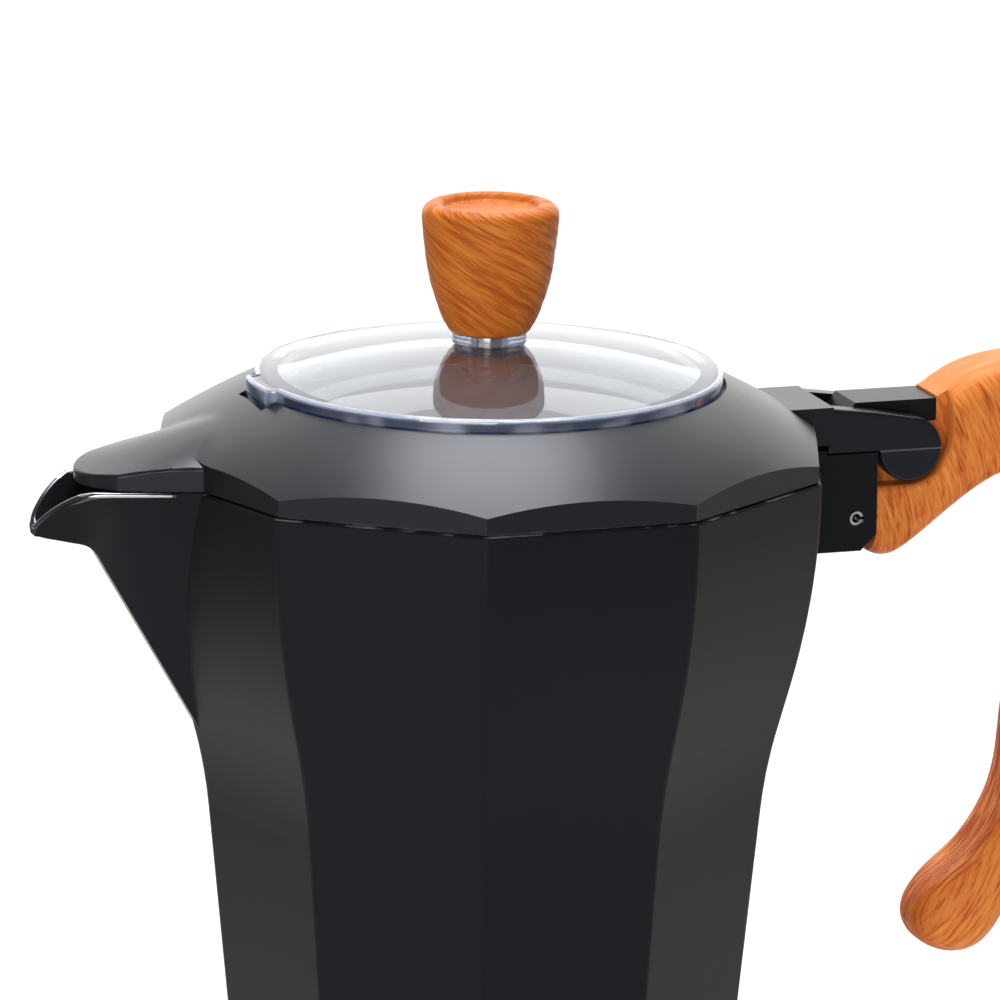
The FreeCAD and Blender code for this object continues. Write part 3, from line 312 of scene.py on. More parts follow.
@dataclass(frozen=True)
class WoodFilm(Finish):
    """Moulded phenolic plastic under a printed wood film with a satin lacquer.

    The film shows orange heartwood with short dark strokes; the mould adds shallow grooves
    under them, so the strokes catch a soft edge of light.
    """

    flow: GrainFlow
    pale: str = "#e69349"
    heart: str = "#cc6928"
    stroke: str = "#953a10"
    # Strength of the strokes, and the grain values between which they fade in.
    share: float = 0.75
    soft: Span = (0.52, 0.7)
    stroke_mm: float = 0.7
    length_mm: float = 6.5
    # Pale streaks lie where the grain is low, and broad clouds lighten or darken the ground.
    streak: Span = (0.3, 0.58)
    streak_light: float = 0.85
    cloud_light: Span = (-0.15, 0.35)
    cloud_mm: float = 9.0
    satin: Span = (0.42, 0.58)
    gloss: float = 0.12
    sunk: float = 0.1 * MM
    sunk_strength: float = 0.3
    # Spiral grain sways by this angle, and is faint towards the knob's axis.
    sway: float = 0.13
    sway_mm: float = 6.0
    worn_middle: float = 0.25
    # Swirling grain runs along arcs: about the first point on the flanks, and about the second on the
    # top and the inner side.
    swirl_middle: Point = (0.0, 0.0, SEAM - 30.0 * MM)
    swirl_reach_mm: float = 90.0
    grip_middle: Point = (72.0 * MM, 0.0, SEAM - 34.0 * MM)
    grip_reach_mm: float = 45.0
    flank: Span = (0.35, 0.8)
    # Painted light on the grip: between these heights its strokes fade and the wood turns paler towards
    # the top, a painted highlight, and stays darker below, a painted shade.
    painted_light_heights: Span = (SEAM - 24.0 * MM, SEAM + 1.0 * MM)
    painted_light_share: float = 0.55
    painted_light_tone: Span = (0.47, 0.6)

    @property
    def label(self) -> str:
        """Name of the finished material."""
        return f"wood_film_on_phenolic_{self.flow.value}"

    def grain(self, tree: Tree) -> Socket:
        """Make the strokes of the film.

        Args:
            tree: Node tree of the material.

        Returns:
            A socket around 0.5 that rises in the strokes and falls in the pale wood.
        """
        if self.flow is GrainFlow.SPIRAL:
            carved = add_node(tree, "Attribute", attribute_name="grain").outputs["Fac"]
            return add_node(tree, "Math", {0: carved, 1: self.spiral(tree)}, operation="ADD").outputs[0]
        place = add_node(tree, "TexCoord")
        facing = add_node(tree, "SeparateXYZ", {0: place.outputs["Normal"]})
        side = add_node(tree, "Math", {0: facing.outputs[1]}, operation="ABSOLUTE").outputs[0]
        flank = add_node(tree, "MapRange", {
            "Value": side, "From Min": self.flank[0], "From Max": self.flank[1]},
            interpolation_type="SMOOTHSTEP")
        sides = self.strokes(tree, self.swirl_middle, self.swirl_reach_mm, across_width=False)
        bands = self.strokes(tree, self.grip_middle, self.grip_reach_mm, across_width=True)
        spot = add_node(tree, "SeparateXYZ", {0: place.outputs["Object"]})
        # Painted light: paler wood with faint strokes on the top of the grip, darker wood below.
        painted_light_fade = add_node(tree, "MapRange", {
            "Value": spot.outputs[2], "From Min": self.painted_light_heights[0], "From Max": self.painted_light_heights[1],
            "To Min": 1.0, "To Max": self.painted_light_share}).outputs[0]
        tone = add_node(tree, "MapRange", {
            "Value": painted_light_fade, "From Min": self.painted_light_share, "To Min": self.painted_light_tone[0],
            "To Max": self.painted_light_tone[1]})
        middle = add_node(tree, "Math", {0: bands, 1: 0.5}, operation="SUBTRACT").outputs[0]
        faint = add_node(tree, "Math", {0: middle, 1: painted_light_fade, 2: tone.outputs[0]}, operation="MULTIPLY_ADD")
        return add_node(tree, "MapRange", {
            "Value": flank.outputs[0], "To Min": faint.outputs[0], "To Max": sides}).outputs[0]

    def spiral(self, tree: Tree) -> Socket:
        """Make fine strokes that climb round the knob.

        Args:
            tree: Node tree of the material.

        Returns:
            A socket around 0 that rises in the strokes and falls in the pale wood.
        """
        place = add_node(tree, "TexCoord").outputs["Object"]
        x, y, z = add_node(tree, "SeparateXYZ", {0: place}).outputs
        angle = add_node(tree, "Math", {0: y, 1: x}, operation="ARCTAN2").outputs[0]
        drift = add_node(tree, "TexNoise", {"Vector": place, "Scale": 1 / (self.sway_mm * MM)})
        sway = add_node(tree, "MapRange", {
            "Value": drift.outputs["Fac"], "To Min": -self.sway, "To Max": self.sway})
        climb = add_node(tree, "Math", {0: z, 1: KNOB_TWIST, 2: sway.outputs[0]}, operation="MULTIPLY_ADD")
        turn = add_node(tree, "Math", {0: angle, 1: climb.outputs[0]}, operation="ADD").outputs[0]
        cosine, sine = (add_node(tree, "Math", {0: turn}, operation=wave).outputs[0]
                        for wave in ("COSINE", "SINE"))
        film = add_node(tree, "CombineXYZ", {0: cosine, 1: sine, 2: z}).outputs[0]
        reach = KNOB_GIRTH / (self.stroke_mm * MM)
        sized = add_node(tree, "VectorMath", {
            0: film, 1: (reach, reach, 2 / (self.length_mm * MM))}, operation="MULTIPLY").outputs[0]
        fine = add_node(tree, "TexNoise", {
            "Vector": sized, "Scale": 1.0, "Detail": 3.0, "Roughness": 0.6}).outputs["Fac"]
        flat = add_node(tree, "CombineXYZ", {0: x, 1: y}).outputs[0]
        radius = add_node(tree, "VectorMath", {0: flat}, operation="LENGTH").outputs["Value"]
        worn = add_node(tree, "MapRange", {
            "Value": radius, "From Min": 0.5 * KNOB_GIRTH, "From Max": KNOB_GIRTH,
            "To Min": self.worn_middle}).outputs[0]
        middle = add_node(tree, "Math", {0: fine, 1: 0.5}, operation="SUBTRACT").outputs[0]
        return add_node(tree, "Math", {0: middle, 1: worn}, operation="MULTIPLY").outputs[0]

    def strokes(self, tree: Tree, middle: Point, reach_mm: float, across_width: bool) -> Socket:
        """Make strokes that run along arcs about a point in the handle's middle plane.

        Args:
            tree: Node tree of the material.
            middle: Middle of the arcs.
            reach_mm: Usual radius of the arcs, which gives the strokes their length.
            across_width: True if the strokes lie side by side over the width, False over the radius.

        Returns:
            A socket around 0.5 that rises in the strokes and falls in the pale wood.
        """
        place = add_node(tree, "TexCoord").outputs["Object"]
        arm = add_node(tree, "VectorMath", {0: place, 1: middle}, operation="SUBTRACT").outputs[0]
        x, y, z = add_node(tree, "SeparateXYZ", {0: arm}).outputs
        turn = add_node(tree, "Math", {0: z, 1: x}, operation="ARCTAN2").outputs[0]
        flat = add_node(tree, "CombineXYZ", {0: x, 1: z}).outputs[0]
        reach = add_node(tree, "VectorMath", {0: flat}, operation="LENGTH").outputs["Value"]
        film = add_node(tree, "CombineXYZ", {0: y if across_width else reach, 1: turn}).outputs[0]
        scale = (1 / (self.stroke_mm * MM), reach_mm / self.length_mm, 0.0)
        sized = add_node(tree, "VectorMath", {0: film, 1: scale}, operation="MULTIPLY").outputs[0]
        return add_node(tree, "TexNoise", {
            "Vector": sized, "Scale": 1.0, "Detail": 3.0, "Roughness": 0.6,
            "Distortion": 0.4}).outputs["Fac"]

    def shade(self, tree: Tree, shader: bpy.types.Node) -> None:
        """Set the shader's sockets and add the surface pattern.

        Args:
            tree: Node tree of the material.
            shader: Its Principled shader.
        """
        grain = self.grain(tree)
        place = add_node(tree, "TexCoord").outputs["Object"]
        drift = add_node(tree, "TexNoise", {
            "Vector": place, "Scale": 1 / (self.cloud_mm * MM), "Detail": 2.0}).outputs["Fac"]
        stroke = add_node(tree, "MapRange", {
            "Value": grain, "From Min": self.soft[0], "From Max": self.soft[1]},
            interpolation_type="SMOOTHSTEP").outputs[0]
        streak = add_node(tree, "MapRange", {
            "Value": grain, "From Min": self.streak[0], "From Max": self.streak[1],
            "To Min": self.streak_light, "To Max": 0.0}).outputs[0]
        cloud = add_node(tree, "MapRange", {
            "Value": drift, "To Min": self.cloud_light[0], "To Max": self.cloud_light[1]}).outputs[0]
        light = add_node(tree, "Math", {0: streak, 1: cloud}, operation="ADD", use_clamp=True).outputs[0]
        ground = add_node(tree, "MixRGB", {
            "Fac": light, "Color1": linear(self.heart), "Color2": linear(self.pale)}).outputs[0]
        share = add_node(tree, "Math", {0: stroke, 1: self.share}, operation="MULTIPLY").outputs[0]
        colour = add_node(tree, "MixRGB", {"Fac": share, "Color1": ground, "Color2": linear(self.stroke)})
        rough = add_node(tree, "MapRange", {
            "Value": stroke, "To Min": self.satin[0], "To Max": self.satin[1]})
        height = add_node(tree, "Math", {0: 1.0, 1: stroke}, operation="SUBTRACT").outputs[0]
        bump = add_node(tree, "Bump", {
            "Height": height, "Strength": self.sunk_strength, "Distance": self.sunk})
        feed(tree, shader, {
            "Base Color": colour.outputs[0], "Roughness": rough.outputs[0], "Normal": bump.outputs[0],
            "Specular IOR Level": self.gloss})


@dataclass(frozen=True)
class ClearPlastic(Finish):
    """Injection-moulded clear styrene copolymer with a blue toner.

    Polished mould walls leave it glossy and clear, and faint flow lines bend the reflections.
    The boss under the knob is painted a warm brown: a painted reflection of the knob seen in and through
    it.
    """

    label: ClassVar[str] = "moulded_clear_styrene"
    tint: str = "#e3e8ef"
    clarity: float = 0.965
    # The boss's warm colour is a painted reflection of the knob's brown seen in and through it.
    boss: str = "#e8dfd8"
    boss_above: float = SEAM + 19.05 * MM
    ior: float = 1.57
    polish: float = 0.02
    flow_mm: float = 25.0
    flow_depth: float = 0.2 * MM
    flow_strength: float = 0.05

    def tone(self, tree: Tree) -> Socket:
        """Mix the colour of the plastic.

        Args:
            tree: Node tree of the material.

        Returns:
            A colour socket.
        """
        place = add_node(tree, "TexCoord").outputs["Object"]
        spot = add_node(tree, "SeparateXYZ", {0: place})
        # Above this height the boss gets the painted reflection of the knob.
        painted_knob_reflection = add_node(tree, "Math", {0: spot.outputs[2], 1: self.boss_above}, operation="GREATER_THAN")
        return add_node(tree, "MixRGB", {
            "Fac": painted_knob_reflection.outputs[0], "Color1": linear(self.tint), "Color2": linear(self.boss)}).outputs[0]

    def shade(self, tree: Tree, shader: bpy.types.Node) -> None:
        """Set the shader's sockets and add the surface pattern, and let lamp light through.

        Args:
            tree: Node tree of the material.
            shader: Its Principled shader.
        """
        place = add_node(tree, "TexCoord").outputs["Object"]
        flow = add_node(tree, "TexNoise", {
            "Vector": place, "Scale": 1 / (self.flow_mm * MM), "Detail": 1.0}).outputs["Fac"]
        bump = add_node(tree, "Bump", {
            "Height": flow, "Strength": self.flow_strength, "Distance": self.flow_depth})
        feed(tree, shader, {
            "Base Color": self.tone(tree), "Roughness": self.polish, "IOR": self.ior,
            "Transmission Weight": self.clarity, "Normal": bump.outputs[0]})
        lamp = add_node(tree, "LightPath").outputs["Is Shadow Ray"]
        clear = add_node(tree, "BsdfTransparent", {"Color": linear(self.tint)}).outputs[0]
        mix = add_node(tree, "MixShader", {0: lamp, 1: shader.outputs[0], 2: clear})
        end = next(node for node in tree.nodes if node.type == "OUTPUT_MATERIAL")
        feed(tree, end, {"Surface": mix.outputs[0]})


@dataclass(frozen=True)
class ClearEdge(ClearPlastic):
    """Rounded edge of the same moulding.

    Its colour is painted light: a navy band below, partly toner gathered on long paths through the edge
    and partly painted shade, with pale patches of painted glints on it, and a painted highlight near white
    on the rounded top.
    """

    label: ClassVar[str] = "moulded_clear_styrene_edge_painted_light"
    # The near white tint is also the painted highlight on the rounded top.
    tint: str = "#e6e9f3"
    clarity: float = 0.7
    # Navy below the top: partly toner, partly painted shade.
    deep: str = "#454e70"
    # The painted highlight rises from the navy to near white over rise, from this height up.
    painted_highlight_from: float = SEAM + 13.35 * MM
    rise: float = 0.7 * MM
    # Pale patches on the navy band are painted glints.
    patch: Span = (0.4, 0.75)
    glint_share: float = 0.5
    glint_mm: float = 5.0

    def tone(self, tree: Tree) -> Socket:
        """Mix the colour of the plastic.

        Args:
            tree: Node tree of the material.

        Returns:
            A colour socket.
        """
        place = add_node(tree, "TexCoord").outputs["Object"]
        spot = add_node(tree, "SeparateXYZ", {0: place})
        # Painted highlight: near white on the rounded top, navy below.
        rise = add_node(tree, "MapRange", {
            "Value": spot.outputs[2], "From Min": self.painted_highlight_from,
            "From Max": self.painted_highlight_from + self.rise}, interpolation_type="SMOOTHSTEP").outputs[0]
        # Painted glints: soft pale patches on the navy band.
        patch = add_node(tree, "TexNoise", {
            "Vector": place, "Scale": 1 / (self.glint_mm * MM), "Detail": 0.0}).outputs["Fac"]
        pale = add_node(tree, "MapRange", {
            "Value": patch, "From Min": self.patch[0], "From Max": self.patch[1],
            "To Max": self.glint_share}, interpolation_type="SMOOTHSTEP").outputs[0]
        light = add_node(tree, "Math", {0: rise, 1: pale}, operation="MAXIMUM").outputs[0]
        return add_node(tree, "MixRGB", {
            "Fac": light, "Color1": linear(self.deep), "Color2": linear(self.tint)}).outputs[0]


@dataclass(frozen=True)
class Silicone(Finish):
    """Food-grade silicone rubber, compression moulded.

    A matt milky surface with a dusting of fine mould texture.
    """

    label: ClassVar[str] = "moulded_silicone"
    colour: str = "#d9d5ca"
    dust: str = "#c8c3b6"
    # The real texture is finer than 0.1 mm. It is drawn coarser so that it shows.
    dust_mm: float = 0.6
    dust_depth: float = 0.05 * MM
    dust_strength: float = 0.15
    roughness: float = 0.65
    ior: float = 1.41

    def shade(self, tree: Tree, shader: bpy.types.Node) -> None:
        """Set the shader's sockets and add the surface pattern.

        Args:
            tree: Node tree of the material.
            shader: Its Principled shader.
        """
        place = add_node(tree, "TexCoord").outputs["Object"]
        dust = add_node(tree, "TexNoise", {
            "Vector": place, "Scale": 1 / (self.dust_mm * MM), "Detail": 3.0}).outputs["Fac"]
        shade = add_node(tree, "MixRGB", {
            "Fac": dust, "Color1": linear(self.colour), "Color2": linear(self.dust)})
        bump = add_node(tree, "Bump", {
            "Height": dust, "Strength": self.dust_strength, "Distance": self.dust_depth})
        feed(tree, shader, {
            "Base Color": shade.outputs[0], "Roughness": self.roughness, "IOR": self.ior,
            "Normal": bump.outputs[0]})


@dataclass(frozen=True)
class CutMetal(Finish):
    """Bar metal turned or drawn to size.

    Fine tool marks break the highlight into small glints.
    """

    name: str
    colour: str
    roughness: float
    spread: Span = (0.7, 1.3)
    # The real marks are finer than 0.1 mm. They are drawn coarser so that they show.
    mark_mm: float = 0.25
    mark_depth: float = 0.02 * MM
    mark_strength: float = 0.08

    @property
    def label(self) -> str:
        """Name of the finished material."""
        return self.name

    def shade(self, tree: Tree, shader: bpy.types.Node) -> None:
        """Set the shader's sockets and add the surface pattern.

        Args:
            tree: Node tree of the material.
            shader: Its Principled shader.
        """
        place = add_node(tree, "TexCoord").outputs["Object"]
        marks = add_node(tree, "TexNoise", {
            "Vector": place, "Scale": 1 / (self.mark_mm * MM), "Detail": 2.0}).outputs["Fac"]
        rough = add_node(tree, "MapRange", {
            "Value": marks, "To Min": self.roughness * self.spread[0],
            "To Max": self.roughness * self.spread[1]})
        bump = add_node(tree, "Bump", {
            "Height": marks, "Strength": self.mark_strength, "Distance": self.mark_depth})
        feed(tree, shader, {
            "Base Color": linear(self.colour), "Metallic": 1.0, "Roughness": rough.outputs[0],
            "Normal": bump.outputs[0]})


@dataclass(frozen=True)
class PaleTable(Finish):
    """Matt white laminate with a soft sheen.

    A soft grey patch of painted shade lies behind and to the left, and keeps the top of the facet that
    mirrors it dark.
    """

    label: ClassVar[str] = "matt_white_laminate"
    colour: str = "#f4f4f4"
    roughness: float = 0.7
    gloss: float = 0.2
    painted_floor_shade: str = "#6a6a6a"
    # Each soft edge of the painted shade: where the table is bare, and where the painted shade is full.
    near_edge: Span = (-0.22, -0.42)
    far_edge: Span = (-1.4, -1.0)
    front_edge: Span = (-0.1, 0.2)
    back_edge: Span = (1.6, 1.2)

    def shade(self, tree: Tree, shader: bpy.types.Node) -> None:
        """Set the shader's sockets and add the surface pattern.

        Args:
            tree: Node tree of the material.
            shader: Its Principled shader.
        """
        place = add_node(tree, "TexCoord").outputs["Object"]
        aside, away, _ = add_node(tree, "SeparateXYZ", {0: place}).outputs
        # Painted shade on the floor: the table turns grey behind and to the left.
        shade_cover: Socket | float = 1.0
        for value, (bare, full) in ((aside, self.near_edge), (aside, self.far_edge),
                                    (away, self.front_edge), (away, self.back_edge)):
            edge = add_node(tree, "MapRange", {
                "Value": value, "From Min": bare, "From Max": full},
                interpolation_type="SMOOTHSTEP").outputs[0]
            shade_cover = add_node(tree, "Math", {0: shade_cover, 1: edge}, operation="MULTIPLY").outputs[0]
        colour = add_node(tree, "MixRGB", {
            "Fac": shade_cover, "Color1": linear(self.colour), "Color2": linear(self.painted_floor_shade)})
        feed(tree, shader, {
            "Base Color": colour.outputs[0], "Roughness": self.roughness,
            "Specular IOR Level": self.gloss})


SPUN = SpunAluminium()
BRASS = CutMetal("turned_brass", "#b08d4a", 0.28)
STEEL = CutMetal("drawn_steel", "#b4b6b8", 0.22)
RUBBER = Silicone()


def show(name: str, mesh: bpy.types.Mesh) -> bpy.types.Object:
    """Put a mesh into the scene with smooth shading.

    Args:
        name: Name of the new object.
        mesh: Its mesh.

    Returns:
        The new object, linked to the scene.
    """
    mesh.polygons.foreach_set("use_smooth", [True] * len(mesh.polygons))
    mesh.update()
    made = bpy.data.objects.new(name, mesh)
    bpy.context.scene.collection.objects.link(made)
    return made


def sheet_of(name: str, rows: Grid, wrap: bool = True) -> bpy.types.Object:
    """Make a smooth mesh from rows of points.

    Args:
        name: Name of the new object.
        rows: Rows with equally many points each.
        wrap: True if each row closes on itself.

    Returns:
        The new object, linked to the scene.
    """
    count = len(rows[0])
    last = count if wrap else count - 1
    faces = []
    for low in range(0, (len(rows) - 1) * count, count):
        for j in range(last):
            after = (j + 1) % count
            faces.append((low + j, low + after, low + count + after, low + count + j))
    mesh = bpy.data.meshes.new(name)
    mesh.from_pydata([point for row in rows for point in row], [], faces)
    return show(name, mesh)


def curve_mesh(name: str, guide: Sequence[tuple[float, float, float, float]], tube: bool) -> bpy.types.Mesh:
    """Draw a smooth curve near guide points.

    Args:
        name: Name of the curve.
        guide: Place of each point, and the tube's radius there.
        tube: True for a closed tube along the curve, False for the bare line.

    Returns:
        The mesh of the tube or of the line.
    """
    curve = bpy.data.curves.new(name, "CURVE")
    curve.dimensions = "3D"
    if tube:
        curve.bevel_depth = 1.0
        curve.bevel_resolution = 4
        curve.use_fill_caps = True
    line = curve.splines.new("NURBS")
    line.points.add(len(guide) - 1)
    for point, (x, y, z, radius) in zip(line.points, guide):
        point.co = (x, y, z, 1.0)
        point.radius = radius
    line.use_endpoint_u = True
    line.order_u = 3
    line.resolution_u = 8
    holder = bpy.data.objects.new(name, curve)
    mesh = bpy.data.meshes.new_from_object(holder)
    bpy.data.objects.remove(holder)
    return mesh


def put_on(piece: bpy.types.Object, body: str, finish: Finish) -> bpy.types.Object:
    """Give a new piece its finish and let it move with a body.

    Args:
        piece: The new object.
        body: Name of the body that carries it.
        finish: Finish of its surface.

    Returns:
        The same object.
    """
    piece.data.materials.append(finish.material())
    LOG.info("%s rides on %s", piece.name, body)
    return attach(piece, body)


def dress_node(node: str, finish: Finish) -> None:
    """Give a node of the model its finish.

    Args:
        node: Name of the node.
        finish: Finish of its surface.
    """
    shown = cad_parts[node]
    material = finish.material()
    for place in shown.material_slots:
        place.link = "OBJECT"
        place.material = material
    LOG.info("%s dressed in %s", node, finish.label)


class SubAssembly(ABC):
    """A group of pieces that are made and finished together."""

    def build(self) -> None:
        """Make the meshes that are added to the model, where the group has any."""

    @abstractmethod
    def dress(self) -> None:
        """Finish the nodes of the model."""


@dataclass
class Boiler(SubAssembly):
    """Lower vessel with its threaded neck."""

    neck_radius: float = 33.0 * MM
    neck_skin: float = 0.01 * MM
    bare_radius: float = 33.2 * MM
    thread_low: float = 73.6 * MM
    thread_high: float = 84.6 * MM
    pitch: float = 2.0 * MM
    crest: float = 0.24 * MM
    run_out: float = 0.12
    steps: int = 160
    rows_per_turn: int = 10

    def build(self) -> None:
        """Make the thread on the neck as one helical wave that fades out at both ends."""
        length = self.thread_high - self.thread_low
        count = int(length / self.pitch * self.rows_per_turn)
        rows: Grid = []
        for i in range(count + 1):
            z = self.thread_low + length * i / count
            fade = smooth_step(0, self.run_out, i / count) * smooth_step(0, self.run_out, 1 - i / count)
            row = []
            for j in range(self.steps):
                angle = 2 * math.pi * j / self.steps
                wave = 0.5 + 0.5 * math.cos(2 * math.pi * (z / self.pitch - j / self.steps))
                radius = self.neck_radius + self.neck_skin + self.crest * fade * wave
                row.append((radius * math.cos(angle), radius * math.sin(angle), z))
            rows.append(row)
        put_on(sheet_of("neck_thread", rows), "boiler", SPUN)

    def dress(self) -> None:
        """Coat the casting and leave the neck and the inside bare."""
        dress_node("boiler", CoatedCasting("boiler", bare_radius=self.bare_radius))


@dataclass
class SafetyValve(SubAssembly):
    """Brass valve in the boiler's wall."""

    def dress(self) -> None:
        """Finish the turned pieces, the seal and the spring."""
        for node in ("valve_body", "valve_cap", "valve_plunger"):
            dress_node(node, BRASS)
        dress_node("valve_washer", RUBBER)
        dress_node("valve_spring", STEEL)


@dataclass
class Filter(SubAssembly):
    """Coffee basket with its stem, and the seal above it."""

    def dress(self) -> None:
        """Finish the spun pieces and the rubber ring."""
        for node in ("funnel_cup", "funnel_strainer", "funnel_stem", "filter_plate"):
            dress_node(node, SPUN)
        dress_node("gasket", RUBBER)


@dataclass
class Collector(SubAssembly):
    """Upper vessel with spout, lug and coffee column."""

    corner: float = 54.99 * MM
    bare_radius: float = 35.5 * MM
    # Bare band on top of the seam's rim, in patches: partly rubbed metal, partly a painted highlight of the
    # edge catching light.
    rim_rub_and_highlight_band: float = 0.2 * MM
    rim_coat_kept: float = 0.5
    # The bare metal of the vessel is duller than that of the lip.
    bare_grey: str = "#8a8c90"
    # Bare top of the lip roll: partly cut metal, partly a painted highlight along the lip.
    lip_bare_and_highlight_band: float = 0.6 * MM
    # Lip of the spout in mm: out from the corner, aside, down from the seam, radius of the edge.
    lip_points: Sequence[tuple[float, float, float, float]] = (
        (-0.5, 11.42, 0.32, 0.42), (4.0, 10.2, 0.32, 0.42), (8.0, 9.1, 0.32, 0.42),
        (10.5, 8.4, 0.32, 0.45), (12.0, 7.75, 0.42, 0.55), (13.3, 6.7, 0.96, 0.66),
        (14.2, 6.1, 1.43, 0.66), (15.2, 5.36, 2.07, 0.66), (16.2, 4.55, 2.85, 0.66),
        (17.0, 3.83, 3.59, 0.66), (17.8, 3.03, 4.47, 0.66), (18.4, 2.36, 5.26, 0.66),
        (18.8, 1.65, 5.9, 0.64), (19.0, 0.85, 6.45, 0.6), (19.05, 0.0, 6.8, 0.55))

    def build(self) -> None:
        """Make the rounded edge that runs along the spout's lip and round its tip."""
        half = [(-self.corner - out * MM, aside * MM, SEAM - down * MM, radius * MM)
                for out, aside, down, radius in self.lip_points]
        line = [(x, -y, z, radius) for x, y, z, radius in half] + half[-2::-1]
        mesh = curve_mesh("lip_line", line, tube=True)
        mesh.materials.clear()
        # The lip roll's bare top is partly cut metal and partly a painted highlight.
        put_on(show("lip_roll", mesh), "collector",
               CoatedCasting("lip", bare_above=SEAM - self.lip_bare_and_highlight_band, bare_up=-1.0, gloss=0.9,
                             satin=(0.14, 0.2)))

    def dress(self) -> None:
        """Coat the casting but for its inside and cut rim, and finish the column and the pins."""
        dress_node("collector", CoatedCasting(
            "collector", bare_radius=self.bare_radius, bare_above=SEAM - self.rim_rub_and_highlight_band,
            coat_kept=self.rim_coat_kept, bare=self.bare_grey))
        dress_node("coffee_column", SPUN)
        for node in ("hinge_pin", "handle_pin"):
            dress_node(node, STEEL)


@dataclass
class Lid(SubAssembly):
    """Hinged lid with its clear window."""

    gloss: float = 0.27
    window_radius: float = 36.9 * MM
    lobe_radius: float = 38.7 * MM
    lobe_half: float = 5.6 * MM
    # Section of the window's edge in mm: out from the window, up from the seam.
    edge_profile: Sequence[Span] = (
        (0.03, 11.3), (0.12, 11.6), (0.15, 12.5), (0.15, 13.5), (0.11, 13.95), (-0.02, 14.2),
        (-0.25, 14.3), (-0.5, 14.32), (-0.65, 14.24), (-0.5, 14.1), (-0.25, 14.0), (0.02, 13.6),
        (0.03, 11.3))
    edge_steps: int = 720
    hinge: Span = (68.49 * MM, SEAM - 1.15 * MM)
    ear_radius: float = 5.3 * MM
    ear_face: float = 8.4 * MM
    # Section of the line across an ear: share of its half width, and height above the face.
    line_half: float = 0.16 * MM
    line_section: Sequence[Span] = ((-1.0, -0.02 * MM), (-0.4, 0.09 * MM), (0.4, 0.09 * MM),
                                    (1.0, -0.02 * MM))
    line_stations: Sequence[float] = (1.0, 0.5, -0.5, -1.0)

    def window_reach(self, angle: float) -> float:
        """Find the window's edge, with its lobe towards the spout.

        Args:
            angle: Angle about the pot's axis.

        Returns:
            Distance of the edge from the axis.
        """
        if math.cos(angle) > 0:
            return self.window_radius
        side = self.lobe_half / max(abs(math.sin(angle)), 0.01)
        return min(max(side, self.window_radius), self.lobe_radius)

    def window_edge_painted_light(self) -> None:
        """Make the rounded edge of the window, a sheet over its wall that carries the painted highlight,
        shade and glints.
        """
        angles = [2 * math.pi * j / self.edge_steps for j in range(self.edge_steps)]
        rows: Grid = []
        for out, up in self.edge_profile:
            reaches = [self.window_reach(angle) + out * MM for angle in angles]
            rows.append([(reach * math.cos(angle), reach * math.sin(angle), SEAM + up * MM)
                         for reach, angle in zip(reaches, angles)])
        put_on(sheet_of("window_edge_painted_light", rows), "lid", ClearEdge())

    def ear_lines(self) -> None:
        """Make the moulded line across each ear of the hinge: a low ridge whose light grey is a painted
        highlight.
        """
        x, z = self.hinge
        # Light grey on the black coating: a painted highlight along the ridge.
        grey = CoatedCasting("line", rim_radius=0.0, coat="#4a4c4f", cloud="#5c5e61")
        for name, side in (("front", -1.0), ("back", 1.0)):
            strip: Grid = [[(x + side * station * self.ear_radius, side * (self.ear_face + lift),
                             z + share * self.line_half) for station in self.line_stations]
                           for share, lift in self.line_section]
            put_on(sheet_of(f"ear_line_painted_highlight_{name}", strip, wrap=False), "lid", grey)

    def build(self) -> None:
        """Make the window's rounded edge, which carries painted highlight and shade, and the moulded line
        across each ear, painted light grey as a highlight.
        """
        self.window_edge_painted_light()
        self.ear_lines()

    def dress(self) -> None:
        """Coat the frame and clear the window."""
        dress_node("lid_ring", CoatedCasting("lid", rim_radius=0.0, gloss=self.gloss))
        dress_node("lid_window", ClearPlastic())
        dress_node("knob_washer", STEEL)


